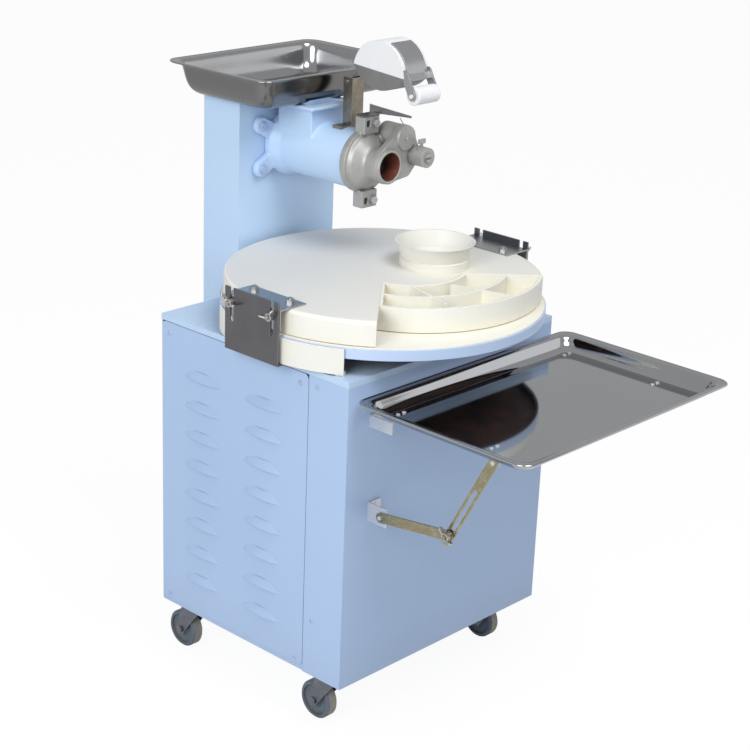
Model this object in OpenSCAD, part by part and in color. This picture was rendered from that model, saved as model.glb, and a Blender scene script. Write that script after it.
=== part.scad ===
// Dough divider and rounder on casters, in millimetres, +Z up, front towards -Y.
// An auger presses dough through a nozzle, a turning wire cuts it off, and the pieces drop
// through a funnel onto a disc that rolls them round under a fixed spiral cover.

/* [Cabinet] */
// Width of the cabinet, side to side
cab_w = 586; // [540:1:620]
// Depth of the cabinet, front to back
cab_d = 520; // [490:1:580]
// Height of the cabinet's body
cab_h = 630; // [560:1:720]
// Thickness of the sheet steel
sheet = 2; // [1.5:0.5:3]
// Width of the front panel's returns along the sides
return_w = 102; // [60:1:130]

/* [Louvres] */
// Louvres in each column
louvre_rows = 8; // [4:1:9]
// Length of a louvre
louvre_len = 106; // [80:1:120]
// Depth that a louvre stands out
louvre_out = 8; // [5:0.5:10]
// Height of a louvre
louvre_h = 18; // [12:1:24]
// Distance between louvres in a column
louvre_pitch = 63; // [50:1:66]
// Distance between the two columns
louvre_cols_y = 174; // [140:1:190]

/* [Column] */
// Width of the column
col_w = 272; // [256:1:300]
// Depth of the column
col_d = 106; // [98:1:130]
// Height of the column above the cabinet
col_h = 396; // [386:1:440]
// Sideways place of the column and barrel
col_x = 47; // [30:1:56]

/* [Barrel] */
// Outer diameter of the barrel
barrel_od = 118; // [112:1:122]
// Wall of the barrel
barrel_wall = 8; // [6:0.5:10]
// Length of the barrel in front of the column
barrel_len = 208; // [200:1:220]
// Height of the barrel's axis above the cabinet
axis_h = 299; // [290:1:304]

/* [Hopper] */
// Width of the hopper over its rim
hop_w = 418; // [380:1:440]
// Depth of the hopper over its rim
hop_d = 300; // [280:1:320]
// Height of the hopper
hop_h = 70; // [54:1:76]

/* [Nozzle head] */
// Diameter of the head's ring
ring_od = 127; // [123:1:131]
// Diameter of the nozzle's bore
nozzle_d = 56; // [44:1:60]
// Wall of the nozzle
nozzle_wall = 6.5; // [4:0.5:8]
// Length of the head in front of the barrel
head_len = 79; // [76:1:86]

/* [Cutter] */
// Sideways distance from the barrel's axis to the cutter's shaft
cut_x = 78; // [76:1:86]
// Height of the cutter's shaft above the barrel's axis
cut_z = 12; // [0:1:20]
// Reach of the cutting wire from its shaft
wire_reach = 108; // [102:1:110]

/* [Flour box] */
// Length of the flour box, front to back
box_len = 132; // [124:1:134]
// Height of the flour box
box_rise = 58; // [50:1:62]
// Width of the flour box
box_w = 70; // [66:1:76]
// Depth of the sieve below the box
sieve_sag = 36; // [24:1:38]
// Radius of the nylon roller
roller_r = 17.5; // [14:0.5:19]

/* [Turntable] */
// Radius of the turning disc
disc_r = 320; // [316:1:324]
// Thickness of the disc's rim
disc_t = 20; // [16:1:24]
// Gap between the cabinet and the disc
disc_gap = 34; // [33:1:40]
// Gap between the disc's rim and the column
disc_back = 4; // [3:1:8]
// Thickness of the white liner on the disc
liner_t = 2.5; // [2:0.5:4]

/* [Rounding cover] */
// Radius of the cover
cover_r = 313; // [306:1:315]
// Height of the cover
cover_h = 48; // [44:1:54]
// Thickness of the cover's top
cover_top_t = 10; // [6:1:14]
// Thickness of the cover's skirt and spiral walls
cover_wall = 8; // [6:0.5:10]
// Gap between the liner and the cover
cover_gap = 1.5; // [1:0.5:3]

/* [Funnel] */
// Radius of the funnel's rim
funnel_rim_r = 80; // [76:1:86]
// Radius of the funnel's collar
funnel_base_r = 70; // [66:1:72]
// Height of the funnel
funnel_h = 50; // [40:1:60]

/* [Height plates] */
// Gap between the disc's rim and a height plate
plate_gap = 11; // [9:1:14]
// Width of a height plate
plate_w = 144; // [130:1:156]
// Height of a height plate above the cabinet
plate_h = 123; // [116:1:130]
// Thickness of the plates and brackets
plate_t = 3; // [2:0.5:3]

/* [Output tray] */
// Width of the output tray over its rim
tray_w = 624; // [590:1:650]
// Depth of the output tray over its rim
tray_d = 409; // [390:1:430]
// Height of the output tray
tray_h = 32; // [26:1:36]
// Drop from the cabinet's top to the tray's rim
tray_drop = 32; // [26:1:40]

/* [Strut] */
// Thickness of the strut's arms
arm_t = 4; // [3:0.5:5]
// Width of the strut's arms
arm_w = 20; // [16:1:24]

/* [Casters] */
// Height from the floor to the cabinet
caster_h = 116; // [112:1:126]
// Diameter of a caster's wheel
wheel_d = 80; // [75:1:84]
// Width of a caster's wheel
wheel_w = 26; // [22:1:30]
// Trail of the wheel behind its swivel
trail = 38; // [30:1:40]

/* [Hidden] */
$fn = 64;
// Facets of the corners of drawn pans
pan_fn = 40;
// Overrun of every cut past the face it opens
over = 1;
// Radial clearance of running fits
fit = 0.05;
// Clearance between faces that pass each other
pass = 0.3;
// Clearance of bolts in their holes
bolt_slack = 0.4;

// Heights and places that follow from the driving sizes
top_z = caster_h + cab_h;
side_x = cab_w / 2;
front_y = -cab_d / 2;
back_y = cab_d / 2;
col_front = back_y;
col_back = col_front + col_d;
col_top = top_z + col_h;
axis_z = top_z + axis_h;
ring_y = col_front - barrel_len;
mouth_y = ring_y - head_len;
disc_y = col_front - disc_back - disc_r;
disc_z = top_z + disc_gap;
liner_z = disc_z + disc_t;
cover_z = liner_z + liner_t + cover_gap;
cover_top = cover_z + cover_h;
tray_gap = 6;
tray_x = 8;
tray_shift = 11;
tray_rim_z = top_z - tray_drop;
tray_back = front_y - tray_gap;
tray_front = tray_back - tray_d;
tray_bottom = tray_rim_z - tray_h;
hop_shift = 8;
hop_set = 12;
hop_x = col_x + hop_shift;
hop_y = col_front + hop_set;
hop_back = hop_y + hop_d / 2;
mid_y = (hop_back + tray_front) / 2;
in_x = side_x - sheet;
in_z = caster_h + sheet;
lid_h = 12;
wall_top = top_z - lid_h;

// Panel seams and screws
seam = 1.2;
panel_r = 12;
panel_inset = 10;
screw_r = 5;
screw_h = 2.4;
screw_edge = 22;
strip_screw_drop = 32;
strip_screw_rise = 118;
pan_lip = 25;
louvre_wall = 1.5;
louvre_first = 100;
panel_y0 = front_y + return_w + seam;
panel_y1 = back_y - sheet;
panel_z0 = caster_h + panel_inset;
panel_z1 = wall_top - seam;

// Drive inside the cabinet and the column
shaft_r = 20;
hub_r = 60;
hub_t = 6;
bearing_r = 62;
bearing_h = 24;
bearing_hole = 30;
gear_w = 170;
gear_d = 190;
gear_h = 170;
gear_z = 420;
gear_boss_r = 45;
gear_boss_h = 20;
shaft_in_gear = 90;
out_r = 12.5;
out_z = 60;
out_in_gear = 50;
out_clear = 3;
table_w = 300;
table_d = 236;
table_t = 8;
leg_w = 30;
motor_x = 20;
motor_r = 75;
motor_len = 250;
motor_z = 220;
motor_back = 110;
motor_foot_w = 150;
motor_foot_d = 160;
motor_fin = 4;
motor_fins = 18;
spindle_r = 12;
pulley_w = 22;
pulley_y = -206;
motor_pulley_r = 40;
input_pulley_r = 70;
input_z = 40;
input_in_gear = 50;
belt_t = 8;
belt_w = 16;
chain_in = 54;
chain_y = col_front + chain_in;
chain_w = 14;
chain_t = 9;
sprocket_r = 50;
sprocket_w = 8;

// Auger and cutter drive
auger_shaft_r = 16;
auger_gap = 2;
auger_r = barrel_od / 2 - barrel_wall - auger_gap;
auger_pitch = 58;
auger_flight = 6;
auger_root = 2;
auger_turns = 3;
auger_steps = 24;
auger_tip = 34;
back_wall = 14;
gear_teeth = 24;
gear_in = 22;
gear_y = col_front + gear_in;
gear_face = 12;
gear_tip = 2.4;
gear_root = 3.2;
gear_dist = norm([cut_x, cut_z]);
gear_pitch_r = gear_dist / 2;
gear_angle = atan2(cut_z, cut_x);
cut_shaft_r = 8;
cut_clear = 2;
cut_ax = col_x + cut_x;
cut_az = axis_z + cut_z;

// Barrel's flange and feed neck
flange_t = 14;
flange_r = 68;
flare_len = 22;
lug_x = 84;
lug_z = 44;
lug_r = 17.5;
neck_w = 100;
neck_d = 96;
neck_out = 68;
neck_y = col_front - neck_out;
neck_wall = 7;
neck_flange = 14;
neck_flange_t = 7;
bolt_head_r = 9;
bolt_head_h = 6;

// Drawn pans: rim roll, corner and draft
rim_r = 4;
waist_share = 0.985;
pan_wall = 2;
hop_corner = 34;
hop_draft = 20;
hop_chamfer = 14;
tray_corner = 24;
tray_draft = 12;
tray_chamfer = 9;

// Head casting
ring_t = 15;
dome_r = 58;
dome_len = 26;
nozzle_r = nozzle_d / 2;
nozzle_or = nozzle_r + nozzle_wall;
nozzle_len = 40;
head_skin = 8;
ear_w = 42;
ear_h = 28;
ear_d = 26;
ear_slot_w = 9;
ear_slot_h = 13;
ear_slot_x = 9;
ear_bolt_x = 9;
web_t = 14;
web_skin = 1;
web_back = 8;
web_y = mouth_y + web_back;
boss_x = 50;
boss_z = 50;
boss_r = 25;
boss_out = 4;
boss_pin_r = 3;
foot_x = 56;
foot_z = -15;
foot_r = 15;
cut_lug_r = 17;
hub_or = 20;
hub_len = 35;
hub_slot = 4;
hub_slot_deep = 3;
end_screw_r = 9;
end_screw_h = 4;
wire_r = 1;
wire_angle = 128;
wire_front = 10;
thumb_r = 3;
thumb_h = 16;
thumb_wing = 9;
thumb_t = 4;

// Deflector: a triangle standing on the head's ear
defl_t = 2.5;
defl_top = 18;
defl_low = -5;
defl_end = 4;
defl_flat = 12;
defl_reach = 84;
defl_turn = 56;

// Flour box, its stand and roller
box_cx = col_x;
box_wall = 3;
box_tilt = 4.2;
box_half = box_len / 2;
box_round = (box_half * box_half + box_rise * box_rise) / (2 * box_rise);
box_drop = box_round - box_rise;
pivot_in = 54;
pivot_up = 146;
pivot_y = ring_y + pivot_in;
pivot_z = axis_z + pivot_up;
box_out = 124;
box_up = 45;
box_y = pivot_y - box_out;
box_z = pivot_z + box_up;
box_gap = 0.2;
stand_x = col_x + 8;
stand_w = 32;
stand_t = 3;
stand_d = 25;
stand_foot = 28;
stand_top = 9;
stand_in = 38;
pivot_r = 4;
pivot_end = 3;
knuckle_r = 8;
strap_t = 3;
strap_in = 10;
strap_end_y = box_y + box_half * cos(box_tilt);
strap_end_z = box_z + box_half * sin(box_tilt);
strap_slope = (strap_end_z - pivot_z) / (pivot_y - strap_end_y);
sieve_t = 2;
sieve_round = (box_half * box_half + sieve_sag * sieve_sag) / (2 * sieve_sag);
fork_w = 54;
fork_a0 = 106;
fork_a1 = 166;
roller_out = 89.5;
roller_drop = 28;
roller_w = 60;
roller_pin = 4;
cheek_x = 34;
cheek_w = 18;

// Cover's spiral: angles from the disc's axis, radii at the spiral's ends
cut_a = -139;
cut_b = -45;
mouth_r = 217;
inner_r0 = 69;
inner_r1 = 154;
mid_r0 = 144;
mid_r1 = 243;
rib_a = -105;
rib_b = -74;
rib_t = 6;
pocket_floor = 8;
feed_a = -20;
guide_r0 = 182;
guide_r1 = 84;
guide_end_a = 200;
edge_r = 6;
step_a = 5;
funnel_r = 115;
funnel_a = -17;
funnel_hole_r = 56;
funnel_wall = 2.5;
funnel_collar_h = 17;
funnel_spigot = 6;
funnel_lip = 3;
funnel_x = funnel_r * cos(funnel_a);
funnel_y = disc_y + funnel_r * sin(funnel_a);

// Height plates and what hangs on them
plate_x = disc_r + plate_gap + plate_t;
plate_shift = 20;
stud_y = 54;
stud_r = 4;
stud_drop = 12;
stud_z = cover_top - stud_drop;
slot_w = 10;
slot_low = 38;
flange_land = 32;
bracket_leg = 38;
bracket_land = 66;
bracket_w = 146;
bracket_bolt_y = 48;
bracket_bolt_r = 4;
bracket_bolt_h = 9;
bracket_nut_h = 6;
stud_out = 14;
nut_r = 8;
nut_h = 10;
wing_len = 16;
wing_h = 9;
wing_t = 3.5;
guard_gap = 3;
guard_t = 3;
guard_h = 50;
guard_a0 = 149;
guard_a1 = 211;
guard_foot_w = 16;

// Tray hinge and strut
hinge_half = 244;
hinge_out = 44;
hinge_down = 56;
hinge_y = front_y - hinge_out;
hinge_z = tray_rim_z - hinge_down;
pin_r = 4;
hinge_plate_h = 24;
hinge_plate_over = 12;
foot_w = 30;
strut_x = tray_x - hinge_half;
low_out = 36;
low_drop = 184;
joint_out = 167;
joint_up = 22;
up_out = 247.5;
up_rise = 7;
low_y = front_y - low_out;
low_z = hinge_z - low_drop;
joint_y = low_y - joint_out;
joint_z = low_z + joint_up;
up_y = hinge_y - up_out;
up_z = hinge_z + up_rise;
low_plate_h = 38;
low_plate_over = 11;
arm_gap = 0.4;
slot_slack = 0.6;
slot_r = pin_r + slot_slack;
slot_from = 75;
slot_to = 196;
arm_end = 206;
bolt_head = 3.5;
ear_t = 3;
lug_w = 34;
lug_len = 44;
rivet_off = 15;
rivet_r = 4;
rivet_h = 2;
rivet_gap = 16;

// Casters
swivel_in_x = 46;
swivel_in_y = 60;
swivel_x = side_x - swivel_in_x;
swivel_y = back_y - swivel_in_y;
caster_plate_w = 74;
caster_plate_d = 92;
caster_plate_t = 3;
swivel_r = 24;
swivel_h = 12;
king_r = 8;
fork_t = 3;
fork_gap = 1;
leg_wide = 40;
axle_r = 5;
axle_nut_r = 8;
axle_nut_h = 4;
wheel_r = wheel_d / 2;
hub_wheel_r = 15;
wheel_dish = 4;
wheel_rim = 8;
fork_top = caster_h - caster_plate_t - swivel_h;

// Colours
blue = [0.66, 0.76, 0.90];
white = [0.93, 0.92, 0.86];
steel = [0.62, 0.63, 0.65];
cast = [0.70, 0.70, 0.69];
zinc = [0.78, 0.74, 0.60];
dark = [0.25, 0.26, 0.28];
grey = [0.50, 0.52, 0.53];

// Whole object moved so that its box is centred front to back
module placed() {
    translate([0, -mid_y, 0]) children();
}

// Block from its low corner to its high corner
module block(lo, hi) {
    translate(lo) cube(hi - lo);
}

// Rod along X from x0 to x1
module rod_x(x0, x1, y, z, r) {
    translate([x0, y, z]) rotate([0, 90, 0]) cylinder(h = x1 - x0, r = r);
}

// Rod along Y from y0 to y1
module rod_y(y0, y1, x, z, r) {
    translate([x, y1, z]) rotate([90, 0, 0]) cylinder(h = y1 - y0, r = r);
}

// Rectangle with round corners, from its low corner to its high corner
module round_rect(lo, hi, r) {
    translate([lo[0] + r, lo[1]]) square([hi[0] - lo[0] - 2 * r, hi[1] - lo[1]]);
    translate([lo[0], lo[1] + r]) square([hi[0] - lo[0], hi[1] - lo[1] - 2 * r]);
    for (x = [lo[0] + r, hi[0] - r], y = [lo[1] + r, hi[1] - r]) translate([x, y]) circle(r);
}

// Flat bar with round ends, a little wider than its waist, between two points
module bar(p, q, w) {
    d = q - p;
    translate(p) circle(w / 2);
    translate(q) circle(w / 2);
    translate(p) rotate(atan2(d[1], d[0])) translate([0, -w * waist_share / 2])
        square([norm(d), w * waist_share]);
}

// Outline in the YZ plane, made solid along X from x0 to x1
module yz_plate(x0, x1) {
    translate([x0, 0, 0]) rotate([90, 0, 90]) linear_extrude(x1 - x0) children();
}

// Outline in the XZ plane, made solid along Y from y0 to y1
module xz_plate(y0, y1) {
    translate([0, y1, 0]) rotate([90, 0, 0]) linear_extrude(y1 - y0) children();
}

// Profile of radius and length turned about a line along -Y that starts at y
module turned(x, y, z) {
    translate([x, y, z]) rotate([90, 0, 0]) rotate_extrude() children();
}

// Body of a drawn pan, drawn in by inset
module pan_body(w, d, h, corner, draft, chamfer, inset, extra) {
    hull() {
        pan_ring(w, d, corner, inset, h, extra, 0);
        pan_ring(w, d, corner, inset, chamfer, extra, draft - chamfer / 2);
        pan_ring(w, d, corner, inset, inset, extra, draft + chamfer / 2);
    }
}

// Thin ring of corner posts at one height of a pan
module pan_ring(w, d, corner, inset, z, extra, in) {
    r = corner - inset;
    x = w / 2 - in - corner;
    y = d / 2 - in - corner;
    top = z > corner / 2 ? extra : over / 10;
    for (sx = [-x, x], sy = [-y, y]) translate([sx, sy, z]) cylinder(h = top, r = r, $fn = pan_fn);
}

// Rolled rim of a drawn pan
module pan_rim(w, d, corner) {
    x = w / 2 - corner;
    y = d / 2 - corner;
    c = corner - rim_r;
    for (s = [-1, 1]) {
        rod_x(-x, x, s * (y + c), 0, rim_r);
        rod_y(-y, y, s * (x + c), 0, rim_r);
    }
    for (k = [0:3]) {
        sx = (k == 0 || k == 3) ? x : -x;
        sy = k < 2 ? y : -y;
        translate([sx, sy, 0]) rotate(90 * k) rotate_extrude(angle = 90)
            translate([c, 0]) circle(rim_r);
    }
}

// Whole drawn pan with its bottom at z = 0
module drawn_pan(w, d, h, corner, draft, chamfer) {
    size = [w - 2 * rim_r, d - 2 * rim_r];
    difference() {
        pan_body(size[0], size[1], h - rim_r, corner - rim_r, draft, chamfer, 0, rim_r);
        pan_body(size[0], size[1], h - rim_r, corner - rim_r, draft, chamfer, pan_wall, rim_r + over);
    }
    translate([0, 0, h - rim_r]) pan_rim(w, d, corner);
}

// Wing nut on a stud along -X, its foot at x = 0
module wing_nut() {
    difference() {
        union() {
            rod_x(-nut_h, 0, 0, 0, nut_r);
            for (s = [-1, 1]) translate([-nut_h + wing_t, s * nut_r * 0.8, 0]) wing(s);
        }
        rod_x(-nut_h - wing_len, over, 0, 0, stud_r + fit);
    }
}

// One wing of a wing nut, leaning outwards
module wing(s) {
    lean = 35;
    rotate([s * lean, 0, 0]) translate([-wing_h / 2, 0, -wing_t / 2]) linear_extrude(wing_t)
        bar([wing_h / 2, 0], [0, s * wing_len * 0.7], wing_h);
}

// Bottom tray of the cabinet
module base_pan() {
    color(blue) placed() difference() {
        block([-in_x, front_y + sheet, caster_h], [in_x, back_y - sheet, in_z + pan_lip]);
        block([-in_x + sheet, front_y + 2 * sheet, in_z], [in_x - sheet, back_y - 2 * sheet, top_z]);
    }
}

// Front sheet with its two returns along the sides
module front_panel() {
    color(blue) placed() {
        block([-side_x, front_y, caster_h], [side_x, front_y + sheet, wall_top]);
        for (s = [-1, 1]) {
            x = s > 0 ? side_x - sheet : -side_x;
            block([x, front_y, caster_h], [x + sheet, front_y + return_w, wall_top]);
        }
    }
}

// Hood of one louvre on the left side: a slice of a cone shell
module louvre() {
    r = (louvre_len * louvre_len / 4 + louvre_out * louvre_out) / (2 * louvre_out);
    difference() {
        intersection() {
            translate([r - louvre_out, 0, 0])
                cylinder(h = louvre_h, r1 = r, r2 = r - louvre_out + louvre_wall);
            block([-2 * louvre_out, -louvre_len, 0], [sheet / 2, louvre_len, louvre_h]);
        }
        translate([r - louvre_out, 0, -over])
            cylinder(h = louvre_h + over, r1 = r - louvre_wall, r2 = r - louvre_out - louvre_wall);
    }
}

// Opening behind one louvre
module louvre_slot() {
    half = louvre_len / 2 - louvre_out;
    block([-over, -half, louvre_wall], [sheet + over, half, louvre_h / 2]);
}

// Places of the louvres on a side panel
module louvre_places() {
    mid = (panel_y0 + panel_y1) / 2;
    first = wall_top - louvre_first;
    for (row = [0:louvre_rows - 1], s = [-1, 1])
        translate([-side_x, mid + s * louvre_cols_y / 2, first - row * louvre_pitch]) children();
}

// Side panel with its louvres, on the left side
module side_panel() {
    difference() {
        yz_plate(-side_x, -side_x + sheet)
            round_rect([panel_y0, panel_z0], [panel_y1, panel_z1], panel_r);
        louvre_places() louvre_slot();
    }
    louvre_places() louvre();
}

module left_louvre_panel() {
    color(blue) placed() side_panel();
}

module right_louvre_panel() {
    color(blue) placed() mirror([1, 0, 0]) side_panel();
}

module back_panel() {
    color(blue) placed() difference() {
        block([-in_x, back_y - sheet, caster_h], [in_x, back_y, wall_top]);
        rod_y(back_y - 2 * sheet, back_y + over, col_x, gear_z + out_z, out_r + out_clear);
    }
}

// Lid of the cabinet with a folded rim, open for the disc's shaft
module top_plate() {
    color(blue) placed() difference() {
        block([-side_x, front_y, wall_top], [side_x, back_y, top_z]);
        block([-in_x, front_y + sheet, wall_top - over], [in_x, back_y - sheet, top_z - sheet]);
        translate([0, disc_y, wall_top]) cylinder(h = lid_h + over, r = bearing_hole);
    }
}

// Round heads of the screws on one side, on the left
module side_screws() {
    panel_y = [panel_y0 + screw_edge, panel_y1 - screw_edge];
    for (y = panel_y, z = [panel_z0 + screw_edge / 2, panel_z1 - screw_edge])
        rod_x(-side_x - screw_h, -side_x, y, z, screw_r);
    for (z = [caster_h + strip_screw_rise, top_z - strip_screw_drop])
        rod_x(-side_x - screw_h, -side_x, front_y + return_w - screw_edge, z, screw_r);
}

// Screws of the side panels, and bolts of the height plates and tray brackets
module cabinet_screws() {
    head_y = front_y - plate_t;
    color(steel) placed() {
        side_screws();
        mirror([1, 0, 0]) side_screws();
        both_sides() for (s = [-1, 1])
            translate([-side_x + flange_land / 2, s * bracket_bolt_y, top_z + plate_t])
                cylinder(h = 2 * screw_h, r = screw_r);
        for (s = [-1, 1], z = [-1, 1])
            rod_y(head_y - screw_h, head_y, tray_x + s * hinge_half + plate_t + foot_w / 2,
                  hinge_z + z * hinge_plate_h / 4, screw_r);
        for (z = [-1, 1])
            rod_y(head_y - screw_h, head_y, strut_x + arm_t + plate_t + foot_w / 2,
                  low_z + z * low_plate_h / 4, screw_r);
    }
}

// Welded table that carries the gearbox over the motor
module drive_frame() {
    color(dark) placed() translate([0, disc_y, 0]) {
        block([-table_w / 2, -table_d / 2, gear_z - table_t], [table_w / 2, table_d / 2, gear_z]);
        for (x = [-table_w / 2, table_w / 2 - leg_w], y = [-table_d / 2, table_d / 2 - leg_w])
            block([x, y, in_z], [x + leg_w, y + leg_w, gear_z]);
    }
}

// Column behind the cabinet: front, sides, top and bottom of folded sheet
module column_cover() {
    x0 = col_x - col_w / 2;
    x1 = col_x + col_w / 2;
    y1 = col_front + 2 * sheet;
    color(blue) placed() difference() {
        block([x0, col_front, caster_h], [x1, col_back, col_top]);
        block([x0 + sheet, col_front + sheet, in_z], [x1 - sheet, col_back + over, col_top - sheet]);
        rod_y(col_front - over, y1, col_x, axis_z, auger_shaft_r + auger_gap);
        rod_y(col_front - over, y1, cut_ax, cut_az, cut_shaft_r + fit);
        rod_y(col_front - over, y1, col_x, gear_z + out_z, out_r + out_clear);
    }
}

module column_back() {
    x0 = col_x - col_w / 2 + sheet;
    x1 = col_x + col_w / 2 - sheet;
    color(blue) placed() block([x0, col_back - sheet, in_z], [x1, col_back, col_top - sheet]);
}

// Barrel casting: lugged flange, flare, tube and feed neck
module barrel() {
    flange_x = neck_w / 2 + neck_flange;
    r = barrel_od / 2;
    bore = r - barrel_wall;
    color(blue) placed() difference() {
        union() {
            rod_y(ring_y, col_front, col_x, axis_z, r);
            rod_y(col_front - flange_t, col_front, col_x, axis_z, flange_r);
            turned(col_x, col_front - flange_t, axis_z)
                polygon([[0, 0], [flange_r, 0], [r, flare_len], [0, flare_len]]);
            translate([col_x, 0, axis_z]) xz_plate(col_front - flange_t, col_front) {
                bar([-lug_x, -lug_z], [lug_x, lug_z], 2 * lug_r);
                bar([-lug_x, lug_z], [lug_x, -lug_z], 2 * lug_r);
            }
            block([col_x - neck_w / 2, neck_y - neck_d / 2, axis_z],
                  [col_x + neck_w / 2, neck_y + neck_d / 2, col_top]);
            block([col_x - flange_x, neck_y - neck_d / 2 - neck_flange, col_top - neck_flange_t],
                  [col_x + flange_x, neck_y + neck_d / 2, col_top]);
        }
        rod_y(col_front - flange_t - flare_len, col_front + over, cut_ax, cut_az, cut_shaft_r + cut_clear);
        rod_y(ring_y - over, col_front - back_wall, col_x, axis_z, bore);
        rod_y(ring_y, col_front + over, col_x, axis_z, auger_shaft_r + fit);
        feed_duct(axis_z, col_top + over);
    }
}

// Opening from the hopper down into the barrel
module feed_duct(z0, z1) {
    hx = neck_w / 2 - neck_wall;
    hy = neck_d / 2 - neck_wall;
    block([col_x - hx, neck_y - hy, z0], [col_x + hx, neck_y + hy, z1]);
}

// Stainless hopper with a rolled rim
module hopper_tray() {
    color(steel) placed() difference() {
        translate([hop_x, hop_y, col_top])
            drawn_pan(hop_w, hop_d, hop_h, hop_corner, hop_draft, hop_chamfer);
        feed_duct(col_top - over, col_top + hop_chamfer);
    }
}

// Clamping ear of the head's ring, s = 1 above and s = -1 below
module head_ear(s) {
    low = ring_od / 2 - ear_h / 4;
    high = ring_od / 2 + ear_h;
    difference() {
        block([-ear_w / 2, -ear_d, s > 0 ? low : -high], [ear_w / 2, 0, s > 0 ? high : -low]);
        z = s * (ring_od / 2 + ear_h / 2);
        block([-ear_slot_x - ear_slot_w / 2, -ear_d - over, z - ear_slot_h / 2],
              [-ear_slot_x + ear_slot_w / 2, over, z + ear_slot_h / 2]);
    }
}

// Head casting: ring, dome, nozzle, clamping ears and the cutter's web
module nozzle_head() {
    bore_r = barrel_od / 2 - barrel_wall;
    color(cast) placed() difference() {
        union() {
            turned(col_x, ring_y, axis_z) polygon([
                [0, 0], [ring_od / 2, 0], [ring_od / 2, ring_t], [dome_r, ring_t],
                [dome_r - head_skin / 2, ring_t + dome_len / 3],
                [nozzle_or + head_skin / 2, ring_t + dome_len * 0.8],
                [nozzle_or, ring_t + dome_len], [nozzle_or, head_len], [0, head_len]]);
            translate([col_x, ring_y, axis_z]) {
                head_ear(1);
                head_ear(-1);
            }
            translate([col_x, 0, axis_z]) xz_plate(web_y, web_y + web_t) hull() {
                translate([boss_x, boss_z]) circle(boss_r + web_skin, $fn = 32);
                translate([cut_x, cut_z]) circle(cut_lug_r, $fn = 32);
                translate([foot_x, foot_z]) circle(foot_r, $fn = 32);
                circle(nozzle_or + web_skin, $fn = 32);
            }
            rod_y(web_y - boss_out, ring_y - ring_t, col_x + boss_x, axis_z + boss_z, boss_r);
        }
        turned(col_x, ring_y + over, axis_z) polygon([
            [0, 0], [bore_r, 0], [bore_r, ring_t + over], [nozzle_r, head_len - nozzle_len + over],
            [nozzle_r, head_len + 2 * over], [0, head_len + 2 * over]]);
        rod_y(mouth_y, ring_y + over, cut_ax, cut_az, cut_shaft_r + fit);
    }
}

// Bolts of the barrel's flange and of the head's ears, and the boss's pin
module head_fasteners() {
    color(steel) placed() {
        for (x = [-lug_x, lug_x], z = [-lug_z, lug_z])
            translate([col_x + x, col_front - flange_t, axis_z + z]) rotate([90, 0, 0])
                cylinder(h = bolt_head_h, r = bolt_head_r, $fn = 6);
        for (s = [-1, 1])
            translate([col_x + ear_bolt_x, ring_y - ear_d, axis_z + s * (ring_od / 2 + ear_h / 2)])
                rotate([90, 0, 0]) cylinder(h = bolt_head_h, r = bolt_head_r, $fn = 6);
        rod_y(web_y - boss_out - screw_h, web_y - boss_out,
              col_x + boss_x - boss_pin_r, axis_z + boss_z, boss_pin_r);
    }
}

// Steel deflector on top of the head's upper ear
module deflector() {
    z = axis_z + ring_od / 2 + ear_h;
    color(steel) placed() translate([col_x, ring_y, z]) {
        block([-ear_w / 2, -ear_d, 0], [ear_w / 2, 0, defl_t]);
        translate([ear_w / 2 - defl_t, 0, 0]) rotate(-defl_turn) rotate([90, 0, 0])
            translate([0, 0, -defl_t]) linear_extrude(defl_t)
                polygon([[0, 0], [0, defl_top], [defl_reach, defl_low + defl_end], [defl_reach, defl_low], [defl_flat, 0]]);
    }
}

// Channel on the barrel that carries the flour box: foot, two cheeks and a web in front
module flour_stand() {
    r = barrel_od / 2;
    y0 = ring_y + stand_in;
    y1 = y0 + stand_d;
    x1 = stand_x + stand_w;
    crest = axis_z + r;
    rise = strap_slope * (pivot_y - y0 - stand_t) - strap_t / 2 * norm([1, strap_slope]);
    color(zinc) placed() difference() {
        union() {
            block([stand_x - stand_foot, y0, crest - stand_t], [stand_x + stand_t, y1, crest + stand_t]);
            for (x = [stand_x, x1 - stand_t]) block([x, y0, axis_z], [x + stand_t, y1, pivot_z + stand_top]);
            block([stand_x, y0, axis_z], [x1, y0 + stand_t, pivot_z + rise - pass]);
        }
        rod_y(y0 - over, y1 + over, col_x, axis_z, r);
        rod_x(stand_x - over, x1 + over, pivot_y, pivot_z, pivot_r + fit);
    }
}

// Electric motor with a finned body and a foot
module motor() {
    color(dark) placed() translate([motor_x, 0, motor_z]) {
        rod_y(motor_back - motor_len, motor_back, 0, 0, motor_r - motor_fin);
        for (k = [0:motor_fins - 1]) rotate([0, k * 360 / motor_fins, 0])
            block([-motor_fin / 2, motor_back - motor_len * 0.85, 0],
                  [motor_fin / 2, motor_back - motor_fin, motor_r]);
        difference() {
            block([-motor_foot_w / 2, motor_back - motor_len / 2 - motor_foot_d / 2, in_z - motor_z],
                  [motor_foot_w / 2, motor_back - motor_len / 2 + motor_foot_d / 2, 0]);
            for (s = [-1, 1])
                block([s * motor_foot_w / 2 - motor_foot_w / 3, -motor_len, table_t + in_z - motor_z],
                      [s * motor_foot_w / 2 + motor_foot_w / 3, motor_len, motor_r]);
        }
    }
}

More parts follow.
